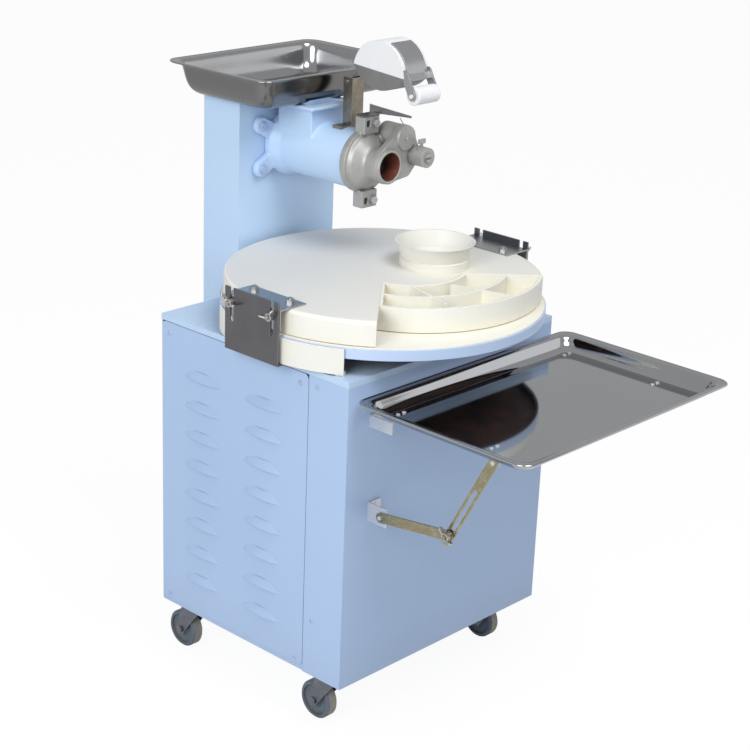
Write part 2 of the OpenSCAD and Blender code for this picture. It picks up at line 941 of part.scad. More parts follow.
// Worm gearbox: upright output to the disc, level outputs to the chain and the belt
module gearbox() {
    color(dark) placed() translate([0, disc_y, gear_z]) difference() {
        union() {
            block([-gear_w / 2, -gear_d / 2, 0], [gear_w / 2, gear_d / 2, gear_h]);
            translate([0, 0, gear_h]) cylinder(h = gear_boss_h, r = gear_boss_r);
        }
        translate([0, 0, gear_h + gear_boss_h - shaft_in_gear])
            cylinder(h = shaft_in_gear + over, r = shaft_r + fit);
        rod_y(gear_d / 2 - out_in_gear, gear_d / 2 + over, col_x, out_z, out_r + fit);
        rod_y(-gear_d / 2 - over, -gear_d / 2 + input_in_gear, motor_x, input_z, spindle_r + fit);
    }
}

// Loop of a belt or chain round two wheels, one above the other, seen from the front
module loop(z0, r0, z1, r1, t) {
    difference() {
        loop_outline(z0, r0 + t, z1, r1 + t);
        loop_outline(z0, r0, z1, r1);
    }
}

module loop_outline(z0, r0, z1, r1) {
    a = asin((r0 - r1) / (z1 - z0));
    translate([0, z0]) circle(r0);
    translate([0, z1]) circle(r1);
    polygon([
        [-r0 * cos(a), z0 + r0 * sin(a)], [r0 * cos(a), z0 + r0 * sin(a)],
        [r1 * cos(a), z1 + r1 * sin(a)], [-r1 * cos(a), z1 + r1 * sin(a)]]);
}

module drive_belt() {
    color(dark) placed() translate([motor_x, 0, 0]) xz_plate(pulley_y - belt_w / 2, pulley_y + belt_w / 2)
        loop(motor_z, motor_pulley_r + pass, gear_z + input_z, input_pulley_r + pass, belt_t);
}

module chain() {
    color(dark) placed() translate([col_x, 0, 0]) xz_plate(chain_y - chain_w / 2, chain_y + chain_w / 2)
        loop(gear_z + out_z, sprocket_r + pass, axis_z, sprocket_r + pass, chain_t);
}

// Flange bearing of the disc's shaft on the cabinet's top
module disc_bearing() {
    color(dark) placed() translate([0, disc_y, top_z]) difference() {
        union() {
            cylinder(h = bearing_h / 3, r = bearing_r);
            cylinder(h = bearing_h, r = bearing_r * 0.6);
        }
        translate([0, 0, -over]) cylinder(h = bearing_h + 2 * over, r = shaft_r + fit);
    }
}

// Left and right copies, half a turn apart round the disc's axis, drawn on the left side
module both_sides() {
    for (k = [0, 1]) translate([0, disc_y, 0]) rotate(180 * k) translate([0, plate_shift, 0]) children();
}

// Slotted plates at the sides, each with a flange on the cabinet's top
module height_plates() {
    color(steel) placed() both_sides() {
        yz_plate(-plate_x, -plate_x + plate_t) difference() {
            translate([-plate_w / 2, top_z]) square([plate_w, plate_h]);
            for (s = [-1, 1]) translate([s * stud_y, 0]) {
                translate([0, stud_z - slot_low + slot_w / 2]) circle(slot_w / 2);
                translate([-slot_w / 2, stud_z - slot_low + slot_w / 2]) square([slot_w, plate_h]);
            }
        }
        block([-plate_x, -plate_w / 2, top_z], [-side_x + flange_land, plate_w / 2, top_z + plate_t]);
    }
}

// White guard strip round the disc's left side
module arc_guard() {
    r0 = disc_r + guard_gap;
    w = guard_foot_w;
    color(white) placed() translate([0, disc_y, top_z]) {
        translate([0, 0, plate_t]) rotate(guard_a0) rotate_extrude(angle = guard_a1 - guard_a0)
            translate([r0, 0]) square([guard_t, guard_h]);
        for (a = [guard_a0, guard_a1]) rotate(a) translate([r0 - w, 0, 0])
            block([0, a == guard_a0 ? 0 : -w, 0], [w, a == guard_a0 ? w : 0, plate_t + guard_t]);
    }
}

// Angle bracket on the cabinet's front: a foot and a plate at right angles, from x towards +X
module front_bracket(x, z, h, reach) {
    block([x, front_y - plate_t, z - h / 2], [x + plate_t + foot_w, front_y, z + h / 2]);
    yz_plate(x, x + plate_t) difference() {
        translate([front_y - reach, z - h / 2]) square([reach, h]);
        children();
    }
}

// Two hinge brackets of the tray and the bracket of its strut
module tray_brackets() {
    color(steel) placed() {
        for (s = [-1, 1])
            front_bracket(tray_x + s * hinge_half, hinge_z, hinge_plate_h, hinge_out + hinge_plate_over)
                translate([hinge_y, hinge_z]) circle(pin_r + fit);
        front_bracket(strut_x + arm_t, low_z, low_plate_h, front_y - low_y + low_plate_over);
        rod_x(strut_x - bolt_head, strut_x + arm_t + plate_t / 2, low_y, low_z, pin_r);
    }
}

// Places of the four casters
function caster_place(i) = [[-1, -1], [1, -1], [-1, 1], [1, 1]][i];

module at_caster(i) {
    p = caster_place(i);
    translate([p[0] * swivel_x, p[1] * swivel_y, 0]) children();
}

// Top plates of the casters with their king pins
module caster_plates() {
    pin_z = fork_top - fork_t - fork_gap;
    color(dark) placed() for (i = [0:3]) at_caster(i) {
        block([-caster_plate_w / 2, -caster_plate_d / 2, caster_h - caster_plate_t],
              [caster_plate_w / 2, caster_plate_d / 2, caster_h]);
        translate([0, 0, pin_z]) cylinder(h = caster_h - pin_z, r = king_r);
        translate([0, 0, pin_z - fork_gap]) cylinder(h = fork_gap + pass, r = king_r + fork_gap);
    }
}

// Fork of a caster with its axle
module caster_fork(i) {
    half = wheel_w / 2 + fork_gap;
    w = leg_wide;
    out = half + fork_t;
    color(dark) placed() at_caster(i) {
        difference() {
            union() {
                translate([0, 0, fork_top - fork_t]) cylinder(h = fork_t + swivel_h - pass, r = swivel_r);
                block([-out, 0, fork_top - fork_t], [out, trail, fork_top]);
                for (x = [-out, half]) yz_plate(x, x + fork_t) polygon([
                    [-w / 2, fork_top], [w * 0.8, fork_top], [trail + w / 3, wheel_r],
                    [trail + w / 5, wheel_r - w / 4], [trail - w / 5, wheel_r - w / 4],
                    [trail - w / 3, wheel_r]]);
            }
            translate([0, 0, fork_top - fork_t - over]) {
                cylinder(h = swivel_h + fork_t + 2 * over, r = king_r + fit);
                cylinder(h = over + fork_gap, r = king_r + 2 * fork_gap);
            }
        }
        rod_x(-out, out, trail, wheel_r, axle_r);
        for (s = [-1, 1]) translate([s * (out + axle_nut_h / 2), trail, wheel_r]) rotate([0, 90, 0])
            cylinder(h = axle_nut_h, r = axle_nut_r, center = true, $fn = 6);
    }
}

module caster_fork_front_left() { caster_fork(0); }
module caster_fork_front_right() { caster_fork(1); }
module caster_fork_back_left() { caster_fork(2); }
module caster_fork_back_right() { caster_fork(3); }

// Wheel of a caster: round tyre, dished sides and a hub
module caster_wheel(i) {
    h = wheel_w / 2;
    d = h - wheel_dish;
    rim = wheel_r - wheel_rim;
    edge = wheel_rim / 2;
    bore = axle_r + fit;
    color(grey) placed() at_caster(i) translate([0, trail, wheel_r]) rotate([0, 90, 0])
        rotate_extrude() polygon([
        [bore, -h], [hub_wheel_r, -h], [hub_wheel_r, -d], [rim, -d], [rim, -h], [wheel_r - edge, -h],
        [wheel_r, -h + edge], [wheel_r, h - edge], [wheel_r - edge, h], [rim, h], [rim, d], [hub_wheel_r, d],
        [hub_wheel_r, h], [bore, h]]);
}

module caster_wheel_front_left() { caster_wheel(0); }
module caster_wheel_front_right() { caster_wheel(1); }
module caster_wheel_back_left() { caster_wheel(2); }
module caster_wheel_back_right() { caster_wheel(3); }

// Turning disc: a shallow pan, open below
module turntable_disc() {
    skin = disc_t / 4;
    color(blue) placed() translate([0, disc_y, disc_z]) difference() {
        cylinder(h = disc_t, r = disc_r);
        translate([0, 0, -over]) difference() {
            cylinder(h = disc_t - skin + over, r = disc_r - skin);
            cylinder(h = disc_t, r = hub_r);
        }
    }
}

module disc_liner() {
    color(white) placed() translate([0, disc_y, liner_z]) cylinder(h = liner_t, r = disc_r - liner_t);
}

// Upright shaft from the gearbox to the disc
module turntable_shaft() {
    z0 = gear_z + gear_h + gear_boss_h - shaft_in_gear + over;
    color(steel) placed() translate([0, disc_y, 0]) {
        translate([0, 0, z0]) cylinder(h = disc_z - z0, r = shaft_r);
        translate([0, 0, disc_z - hub_t]) cylinder(h = hub_t, r = hub_r);
    }
}

// One turn-by-turn point of the auger's flight: angle along the helix, then its section
function flight_point(k, r, t) = let (a = k * 360 / auger_steps, y = k * auger_pitch / auger_steps)
    [r * cos(a), r * sin(a), y + t];

// Helical flight along +Z
module flight() {
    n = floor(auger_turns * auger_steps);
    r0 = auger_shaft_r - auger_root;
    points = [for (k = [0:n]) each [
        flight_point(k, r0, 0), flight_point(k, auger_r, 0),
        flight_point(k, auger_r, auger_flight), flight_point(k, r0, auger_flight)]];
    sides = [for (k = [0:n - 1], j = [0:3]) let (a = 4 * k + j, b = 4 * k + (j + 1) % 4) each [
        [a, b, b + 4], [a, b + 4, a + 4]]];
    ends = [[3, 2, 1], [3, 1, 0], [4 * n, 4 * n + 1, 4 * n + 2], [4 * n, 4 * n + 2, 4 * n + 3]];
    polyhedron(points, concat(sides, ends));
}

// Auger in the barrel with its shaft through to the chain
module auger() {
    y0 = ring_y - auger_tip;
    y1 = chain_y + chain_w;
    color(steel) placed() {
        rod_y(y0 + auger_tip / 2, y1, col_x, axis_z, auger_shaft_r);
        turned(col_x, y0 + auger_tip, axis_z) polygon([
            [0, -over], [auger_shaft_r, -over], [auger_shaft_r, auger_tip / 2],
            [auger_shaft_r / 2, auger_tip], [0, auger_tip]]);
        translate([col_x, ring_y + auger_turns * auger_pitch - auger_gap, axis_z])
            rotate([90, 0, 0]) flight();
    }
}

// Outline of a spur gear, one tooth centred on the angle a
module gear_outline(a) {
    pitch = 360 / gear_teeth;
    tip = gear_pitch_r + gear_tip;
    root = gear_pitch_r - gear_root;
    root_share = 0.29;
    tip_share = 0.12;
    polygon([for (k = [0:gear_teeth - 1]) let (c = a + k * pitch) each [
        root * [cos(c - root_share * pitch), sin(c - root_share * pitch)],
        tip * [cos(c - tip_share * pitch), sin(c - tip_share * pitch)],
        tip * [cos(c + tip_share * pitch), sin(c + tip_share * pitch)],
        root * [cos(c + root_share * pitch), sin(c + root_share * pitch)]]]);
}

// Sprocket on the auger's shaft and the gear that drives the cutter
module auger_sprocket() {
    color(dark) placed() difference() {
        union() {
            rod_y(chain_y - sprocket_w / 2, chain_y + sprocket_w / 2, col_x, axis_z, sprocket_r);
            rod_y(gear_y, chain_y, col_x, axis_z, auger_shaft_r * 1.5);
            translate([col_x, 0, axis_z]) xz_plate(gear_y - gear_face / 2, gear_y + gear_face / 2)
                gear_outline(gear_angle);
        }
        rod_y(gear_y - gear_face, chain_y + chain_w, col_x, axis_z, auger_shaft_r + fit);
    }
}

// Belt pulley on a spindle that runs from y0 to y1
module belt_pulley(z, r, y0, y1) {
    rod_y(pulley_y - pulley_w / 2, pulley_y - belt_w / 2 - pass, motor_x, z, r + belt_t);
    rod_y(pulley_y + belt_w / 2 + pass, pulley_y + pulley_w / 2, motor_x, z, r + belt_t);
    rod_y(pulley_y - pulley_w / 2, pulley_y + pulley_w / 2, motor_x, z, r);
    rod_y(y0, y1, motor_x, z, spindle_r);
}

module motor_pulley() {
    color(dark) placed()
        belt_pulley(motor_z, motor_pulley_r, pulley_y - pulley_w, motor_back - motor_len - pass);
}

module input_pulley() {
    color(dark) placed() belt_pulley(gear_z + input_z, input_pulley_r, pulley_y - pulley_w,
                                     disc_y - gear_d / 2 + input_in_gear - over);
}

// Lower chain sprocket on the gearbox's level output
module drive_sprocket() {
    color(dark) placed() {
        rod_y(chain_y - sprocket_w / 2, chain_y + sprocket_w / 2, col_x, gear_z + out_z, sprocket_r);
        rod_y(disc_y + gear_d / 2 - out_in_gear + over, chain_y + chain_w, col_x, gear_z + out_z, out_r);
    }
}

// Cutter's shaft beside the barrel with its gear in the column
module cutter_shaft() {
    y0 = web_y - hub_len;
    color(steel) placed() {
        rod_y(y0, gear_y + gear_face, cut_ax, cut_az, cut_shaft_r);
        translate([cut_ax, 0, cut_az]) xz_plate(gear_y - gear_face / 2, gear_y + gear_face / 2)
            gear_outline(gear_angle + 180 + 180 / gear_teeth);
    }
}

// Clamping hub of the cutter with its end screw, thumb screw and cutting wire
module cutter_hub() {
    y0 = web_y - hub_len;
    y1 = web_y - pass;
    wire_y = mouth_y - wire_front;
    color(cast) placed() translate([cut_ax, 0, cut_az]) {
        difference() {
            union() {
                rod_y(y0, y1, 0, 0, hub_or);
                rod_y(y0 - end_screw_h, y0, 0, 0, end_screw_r);
            }
            rod_y(y0, y1 + over, 0, 0, cut_shaft_r + fit);
            block([-hub_or, y0 - end_screw_h - over, -hub_slot / 2],
                  [hub_or, y0 - end_screw_h + hub_slot_deep, hub_slot / 2]);
        }
        translate([0, (y0 + y1) / 2, hub_or - over]) {
            cylinder(h = thumb_h, r = thumb_r);
            block([-thumb_wing, -thumb_t / 2, thumb_h - thumb_wing], [thumb_wing, thumb_t / 2, thumb_h]);
        }
        translate([0, wire_y, 0]) rotate([0, -wire_angle, 0]) translate([hub_or - over, 0, 0])
            rotate([0, 90, 0]) cylinder(h = wire_reach - hub_or + over, r = wire_r);
    }
}

// Round-topped outline of the flour box about the middle of its lower edge
module box_outline(inset) {
    intersection() {
        translate([0, -box_drop]) circle(box_round - inset);
        translate([-box_half, 0]) square([box_len, box_rise]);
    }
}

// Outline of the sieve below the box
module sieve_outline(inset) {
    intersection() {
        translate([0, sieve_round - sieve_sag]) circle(sieve_round - inset);
        translate([-box_half, -sieve_sag]) square([box_len, sieve_sag]);
    }
}

// Flour box as it lies: leaning forward about the middle of its lower edge
module boxed() {
    translate([0, box_y, box_z]) rotate([box_tilt, 0, 0]) children();
}

// Room that the box and the sieve take up
module box_room() {
    boxed() yz_plate(box_cx - box_w, box_cx + box_w) {
        box_outline(-box_gap);
        sieve_outline(-box_gap);
    }
}

// White round-topped box, open below
module flour_box() {
    x0 = box_cx - box_w / 2;
    x1 = box_cx + box_w / 2;
    color(white) placed() boxed() difference() {
        yz_plate(x0, x1) box_outline(0);
        translate([0, 0, -over]) yz_plate(x0 + box_wall, x1 - box_wall) box_outline(box_wall);
    }
}

// Sieve pan that closes the box below
module flour_sieve() {
    x0 = box_cx - box_w / 2;
    x1 = box_cx + box_w / 2;
    color(steel) placed() boxed() difference() {
        yz_plate(x0, x1) sieve_outline(0);
        translate([0, 0, over / 2]) yz_plate(x0 + sieve_t, x1 - sieve_t) sieve_outline(sieve_t + over / 2);
    }
}

// Strap from the stand's pivot up to the back of the box, with its pin
module flour_hinge() {
    x0 = stand_x + stand_t + pass;
    x1 = stand_x + stand_w - stand_t - pass;
    far = [strap_end_y - strap_in, strap_end_z + strap_in * strap_slope];
    color(steel) placed() {
        difference() {
            union() {
                rod_x(x0, x1, pivot_y, pivot_z, knuckle_r);
                yz_plate(x0, x1) bar([pivot_y, pivot_z], far, strap_t);
            }
            box_room();
        }
        rod_x(stand_x - pivot_end, stand_x + stand_w + pivot_end, pivot_y, pivot_z, pivot_r);
    }
}

// Strip round the front of the box with the cheeks that hold the roller
module roller_fork() {
    r0 = box_round + box_gap;
    r1 = r0 + strap_t;
    low = (r0 + strap_t / 2) * [cos(fork_a1), sin(fork_a1)] - [0, box_drop];
    axle = [-roller_out, -roller_drop];
    reach = 2 * r1;
    color(steel) placed() difference() {
        boxed() {
            yz_plate(box_cx - fork_w / 2, box_cx + fork_w / 2) translate([0, -box_drop]) intersection() {
                difference() {
                    circle(r1);
                    circle(r0);
                }
                polygon([[0, 0], for (a = [fork_a0, fork_a1]) reach * [cos(a), sin(a)]]);
            }
            yz_plate(box_cx - cheek_x, box_cx + cheek_x) bar(low, low + (axle - low) * 0.3, strap_t);
            for (x = [-cheek_x, cheek_x - strap_t]) yz_plate(box_cx + x, box_cx + x + strap_t)
                bar(low, axle, cheek_w);
        }
        box_room();
        boxed() rod_x(box_cx - box_w, box_cx + box_w, axle[0], axle[1], roller_pin + fit);
    }
}

// Nylon roller with its pin
module roller() {
    edge = strap_t / 2;
    end = cheek_x + strap_t;
    color(white) placed() boxed() {
        turned_x(box_cx - roller_w / 2, -roller_out, -roller_drop) polygon([
            [0, 0], [roller_r - edge, 0], [roller_r, edge], [roller_r, roller_w - edge],
            [roller_r - edge, roller_w], [0, roller_w]]);
        rod_x(box_cx - end, box_cx + end, -roller_out, -roller_drop, roller_pin);
    }
}

// Profile of radius and length turned about a line along +X that starts at x
module turned_x(x, y, z) {
    translate([x, y, z]) rotate([0, 90, 0]) rotate_extrude() children();
}

// Points of a spiral whose radius runs from r0 to r1 between two angles
function spiral(a0, r0, a1, r1) = let (n = ceil(abs(a1 - a0) / step_a))
    [for (i = [0:n]) let (a = a0 + (a1 - a0) * i / n, r = r0 + (r1 - r0) * i / n) r * [cos(a), sin(a)]];

function reversed(list) = [for (i = [len(list) - 1:-1:0]) list[i]];

// Band between two spirals over the same angles
module spiral_band(a0, r0, r0b, a1, r1, r1b) {
    polygon(concat(spiral(a0, r0, a1, r1), reversed(spiral(a0, r0b, a1, r1b))));
}

// Part of the cover without a top: from the cut's inner spiral out to the outer wall
module open_sector(grow) {
    spiral_band(cut_a, inner_r0, mouth_r + grow, cut_b, inner_r1, cover_r + grow);
}

// Straight rib between two radii at one angle
module rib(a, r0, r1) {
    rotate(a) translate([r0, -rib_t / 2]) square([r1 - r0, rib_t]);
}

// Walls that stand in the open sector
module sector_walls() {
    spiral_band(cut_a, mouth_r - cover_wall, mouth_r, cut_b, cover_r - cover_wall, cover_r);
    spiral_band(cut_a, mid_r0 - cover_wall, mid_r0, cut_b, mid_r1 - cover_wall, mid_r1);
    spiral_band(cut_a, inner_r0, inner_r0 + cover_wall, cut_b, inner_r1, inner_r1 + cover_wall);
    rib(rib_a, inner_r0 + cover_wall, mouth_r + cover_wall);
    rib(rib_b, inner_r1 - cover_wall, cover_r - 4 * cover_wall);
    rotate(cut_a) translate([inner_r0, 0]) square([mouth_r - inner_r0, rib_t]);
    rotate(cut_b) translate([inner_r1, -rib_t]) square([cover_r - inner_r1 - cover_wall / 2, rib_t]);
}

// White cover: top, skirt, spiral channel below and open pockets in front
module rounding_cover() {
    color(white) placed() translate([0, disc_y, cover_z]) difference() {
        union() {
            difference() {
                rotate_extrude() polygon([
                    [0, 0], [cover_r, 0], [cover_r, cover_h - edge_r],
                    [cover_r - edge_r * 0.3, cover_h - edge_r * 0.3],
                    [cover_r - edge_r, cover_h], [0, cover_h]]);
                translate([0, 0, -over])
                    cylinder(h = cover_h - cover_top_t + over, r = cover_r - cover_wall);
                translate([0, 0, -over]) linear_extrude(cover_h + 2 * over) difference() {
                    open_sector(cover_r);
                    circle(inner_r0);
                }
            }
            linear_extrude(cover_h - over) sector_walls();
            linear_extrude(pocket_floor) open_sector(0);
            linear_extrude(cover_h - cover_top_t + over) {
                spiral_band(feed_a, guide_r1, guide_r1 + cover_wall,
                            cut_a + 360, mouth_r - cover_wall, mouth_r);
                spiral_band(feed_a, guide_r0, guide_r0 + cover_wall,
                            guide_end_a, cover_r - 1.5 * cover_wall, cover_r - cover_wall / 2);
            }
        }
        translate([funnel_x, funnel_y - disc_y, cover_h - cover_top_t - over])
            cylinder(h = cover_top_t + 2 * over, r = funnel_hole_r);
    }
}

// Angle brackets on the cover with their bolts and the studs of the wing nuts
module cover_brackets() {
    x0 = -plate_x + plate_t;
    color(steel) placed() both_sides() {
        block([x0, -bracket_w / 2, cover_top], [x0 + bracket_land, bracket_w / 2, cover_top + plate_t]);
        block([x0, -bracket_w / 2, cover_top - bracket_leg],
              [x0 + plate_t, bracket_w / 2, cover_top + plate_t]);
        for (s = [-1, 1]) {
            translate([x0 + bracket_land * 0.75, s * bracket_bolt_y, cover_top + plate_t]) {
                cylinder(h = bracket_nut_h, r = bolt_head_r, $fn = 6);
                cylinder(h = bracket_bolt_h, r = bracket_bolt_r);
            }
            rod_x(-plate_x - stud_out, x0, s * stud_y, stud_z, stud_r);
        }
    }
}

// White funnel bowl with its collar, set in the cover's hole
module funnel() {
    r = funnel_base_r;
    lip = funnel_lip;
    hole = funnel_hole_r - bolt_slack;
    bore = hole - funnel_wall;
    color(white) placed() translate([funnel_x, funnel_y, cover_top]) rotate_extrude() polygon([
        [hole, -funnel_spigot], [hole, 0], [r, 0], [r, funnel_collar_h],
        [r - lip, funnel_collar_h + lip / 2],
        [funnel_rim_r - lip, funnel_h - lip], [funnel_rim_r, funnel_h - lip / 2], [funnel_rim_r, funnel_h],
        [funnel_rim_r - lip, funnel_h], [r - lip - funnel_wall, funnel_collar_h], [bore, 0],
        [bore, -funnel_spigot]]);
}

// Wing nuts on the height plates, k = 0 on the left, s = 1 towards the back of the left side
module plate_nut(k, s) {
    turn = 25;
    color(steel) placed() translate([0, disc_y, 0]) rotate(180 * k)
        translate([-plate_x - pass, plate_shift + s * stud_y, stud_z]) rotate([s * turn, 0, 0]) wing_nut();
}

module wing_nut_left_back() { plate_nut(0, 1); }
module wing_nut_left_front() { plate_nut(0, -1); }
module wing_nut_right_front() { plate_nut(1, 1); }
module wing_nut_right_back() { plate_nut(1, -1); }

// Stainless output tray
module tray_pan() {
    color(steel) placed() translate([tray_x + tray_shift, tray_back - tray_d / 2, tray_bottom])
        drawn_pan(tray_w, tray_d, tray_h, tray_corner, tray_draft, tray_chamfer);
}

// One lug below the tray: foot, ear and pin through to the left
module tray_lug(x, y, z, pin_len, way) {
    lug_foot(x, y, way);
    yz_plate(x, x + ear_t) {
        bar([y, z], [y, tray_bottom - arm_w / 2], arm_w);
        translate([y - arm_w / 2, tray_bottom - arm_w / 2]) square([arm_w, arm_w / 2]);
    }
    rod_x(x - pin_len, x + ear_t / 2, y, z, pin_r);
}

// Foot plate below the tray with two rivet heads above it, towards the front or back
module lug_foot(x, y, way) {
    mid = y + way * rivet_off;
    block([x, mid - lug_len / 2, tray_bottom - ear_t], [x + lug_w, mid + lug_len / 2, tray_bottom]);
    for (s = [-1, 1])
        translate([x + lug_w / 2 + s * rivet_gap / 2, mid, tray_bottom + pan_wall])
            cylinder(h = rivet_h, r = rivet_r);
}

// Lugs of the hinges and of the strut below the tray, and their rivets
module tray_lugs() {
    hinge_pin = plate_t + 2 * pass + arm_gap;
    color(steel) placed() {
        for (s = [-1, 1])
            tray_lug(tray_x + s * hinge_half + plate_t + pass, hinge_y, hinge_z, hinge_pin, -1);
        tray_lug(strut_x + 2 * arm_t + 2 * arm_gap, up_y, up_z, arm_t + 2 * arm_gap, 1);
        lug_foot(tray_x + hinge_half, up_y, 1);
    }
}

// Lower arm of the strut with the bolt that runs in the upper arm's slot
module strut_lower() {
    p = [low_y, low_z];
    q = [joint_y, joint_z];
    head_x = strut_x + 2 * arm_t + arm_gap;
    color(zinc) placed() {
        yz_plate(strut_x, strut_x + arm_t - arm_gap) difference() {
            bar(p, q, arm_w);
            translate(p) circle(pin_r + fit);
            translate(q) circle(pin_r + fit);
        }
        rod_x(strut_x - stud_out, head_x, joint_y, joint_z, pin_r);
        rod_x(head_x, head_x + bolt_head, joint_y, joint_z, bolt_head_r);
    }
}

// Upper slotted arm of the strut
module strut_upper() {
    p = [up_y, up_z];
    d = ([joint_y, joint_z] - p) / norm([joint_y, joint_z] - p);
    color(zinc) placed() yz_plate(strut_x + arm_t, strut_x + 2 * arm_t) difference() {
        bar(p, p + arm_end * d, arm_w);
        translate(p) circle(pin_r + fit);
        bar(p + slot_from * d, p + slot_to * d, 2 * slot_r);
    }
}

module strut_wing_nut() {
    turn = 40;
    color(steel) placed() translate([strut_x - pass, joint_y, joint_z]) rotate([turn, 0, 0]) wing_nut();
}

base_pan();
front_panel();
left_louvre_panel();
right_louvre_panel();
back_panel();
top_plate();
cabinet_screws();
drive_frame();
column_cover();
column_back();
barrel();
hopper_tray();
nozzle_head();
head_fasteners();
deflector();
flour_stand();
motor();
gearbox();
drive_belt();
chain();
disc_bearing();
height_plates();
arc_guard();
tray_brackets();
caster_plates();
turntable_disc();
disc_liner();
turntable_shaft();
auger();
auger_sprocket();
motor_pulley();
input_pulley();
drive_sprocket();
cutter_shaft();
cutter_hub();
flour_box();
flour_sieve();
flour_hinge();
roller_fork();
roller();
rounding_cover();
cover_brackets();
funnel();
wing_nut_left_back();
wing_nut_left_front();
wing_nut_right_back();
wing_nut_right_front();
tray_pan();
tray_lugs();
strut_lower();
strut_upper();
strut_wing_nut();
caster_fork_front_left();
caster_fork_front_right();
caster_fork_back_left();
caster_fork_back_right();
caster_wheel_front_left();
caster_wheel_front_right();
caster_wheel_back_left();
caster_wheel_back_right();
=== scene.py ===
# %% [markdown]
# # A dough divider and rounder in powder-blue paint, nylon and stainless steel
# The machine's solids come from CAD as a fixed frame. This lesson gives each of them its finish
# and adds the drawn, cast and domed pieces that plain solids can't show: the pressed trays, the
# castings with rounded edges and the screw heads. Nothing of the frame is moved.

# %% Load the frame
import math

import bmesh
import bpy
from mathutils import Matrix, Vector


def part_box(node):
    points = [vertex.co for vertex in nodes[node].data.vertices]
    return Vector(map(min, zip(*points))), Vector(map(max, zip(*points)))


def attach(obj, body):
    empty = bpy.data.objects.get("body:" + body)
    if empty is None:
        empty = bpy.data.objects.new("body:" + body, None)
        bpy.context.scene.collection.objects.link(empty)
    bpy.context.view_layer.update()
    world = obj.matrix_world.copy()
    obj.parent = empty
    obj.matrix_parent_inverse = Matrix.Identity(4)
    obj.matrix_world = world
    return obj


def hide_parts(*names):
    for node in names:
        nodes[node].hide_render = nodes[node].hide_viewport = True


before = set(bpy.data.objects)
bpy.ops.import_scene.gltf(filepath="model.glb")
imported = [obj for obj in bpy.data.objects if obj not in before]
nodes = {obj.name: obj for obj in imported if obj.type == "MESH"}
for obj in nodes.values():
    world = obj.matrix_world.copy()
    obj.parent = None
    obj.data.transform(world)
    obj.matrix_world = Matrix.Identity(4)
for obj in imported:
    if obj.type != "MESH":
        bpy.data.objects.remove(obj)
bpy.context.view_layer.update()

# %% [markdown]
# ## Camera
# The photograph was solved from the cabinet's edges, so the camera's place, turn and lens are known
# numbers. A camera in Blender looks along its own -Z with +Y up, so the three rows of the solution,
# right, down and forward, become the columns right, up and back of its matrix.

# %% Camera at the photograph's place
RIGHT = Vector((0.689191, -0.723689, 0.035912))
DOWN = Vector((-0.229023, -0.264591, -0.936771))
AHEAD = Vector((0.687433, 0.637390, -0.348095))
EYE = Vector((-2.51250, -2.25380, 1.90315))
FOCAL_PIXELS = 1824.264
FRAME_PIXELS = 750
SENSOR_MM = 36
FAR_CLIP = 60

lens = bpy.data.cameras.new("photo_camera")
lens.sensor_fit = "HORIZONTAL"
lens.sensor_width = SENSOR_MM
lens.lens = FOCAL_PIXELS * SENSOR_MM / FRAME_PIXELS
lens.clip_end = FAR_CLIP
camera = bpy.data.objects.new("photo_camera", lens)
turn = Matrix((RIGHT, -DOWN, -AHEAD)).transposed().to_4x4()
camera.matrix_world = Matrix.Translation(EYE) @ turn
bpy.context.scene.collection.objects.link(camera)
bpy.context.scene.camera = camera
print("lens", round(lens.lens, 2), "mm")

# %% [markdown]
# ## Shader sums in plain Python
# A finish is mostly sums on masks: a noise times a share, one minus a mask, a distance from an axis.
# `Sum` wraps a number socket so that these are written as sums, and each one adds its Math node.
# Every other node comes from `Tree.node`, which sets the node's settings first and then its sockets.

# %% Sums on sockets
class Sum:
    """A socket of a node tree. Number sockets take part in ordinary sums."""

    def __init__(self, tree, out):
        self.tree, self.out = tree, out

    def with_value(self, operation, first, second):
        step = self.tree.nodes.new("ShaderNodeMath")
        step.operation = operation
        for place, value in zip(step.inputs, (first, second)):
            if isinstance(value, Sum):
                self.tree.links.new(value.out, place)
            else:
                place.default_value = value
        return Sum(self.tree, step.outputs[0])

    def __add__(self, other):
        return self.with_value("ADD", self, other)

    def __radd__(self, other):
        return self.with_value("ADD", other, self)

    def __sub__(self, other):
        return self.with_value("SUBTRACT", self, other)

    def __rsub__(self, other):
        return self.with_value("SUBTRACT", other, self)

    def __mul__(self, other):
        return self.with_value("MULTIPLY", self, other)

    def __rmul__(self, other):
        return self.with_value("MULTIPLY", other, self)

    def __gt__(self, other):
        return self.with_value("GREATER_THAN", self, other)

    def __lt__(self, other):
        return self.with_value("LESS_THAN", self, other)


print("sums ready")

# %% Node trees and finishes
SHADE_SAMPLES = 8
EDGE_SAMPLES = 4


class Tree:
    """A node tree of a material or a world, with one way to add nodes to it."""

    def __init__(self, tree):
        self.tree = tree
        tree.nodes.clear()

    def put(self, socket, value):
        if isinstance(value, Sum):
            self.tree.links.new(value.out, socket)
        else:
            socket.default_value = value

    def node(self, kind, settings=None, out=0, **sockets):
        """Adds a node. A list of values fills the sockets that share a name, in turn."""
        made = self.tree.nodes.new(kind)
        for key, value in (settings or {}).items():
            if key == "stops":
                while len(made.color_ramp.elements) < len(value):
                    made.color_ramp.elements.new(0.5)
                for stop, (where, colour) in zip(made.color_ramp.elements, value):
                    stop.position, stop.color = where, colour
            else:
                setattr(made, key, value)
        for key, value in sockets.items():
            wanted = key.replace("_", " ")
            live = [s for s in made.inputs if s.name == wanted and s.enabled]
            assert live, (kind, wanted)
            for socket, part in zip(live, value if isinstance(value, list) else [value]):
                self.put(socket, part)
        return Sum(self.tree, made.outputs[out]) if made.outputs else made

    def rays(self, kind):
        """1 for rays of a kind: Camera, Glossy or Transmission."""
        return self.node("ShaderNodeLightPath", out=f"Is {kind} Ray")


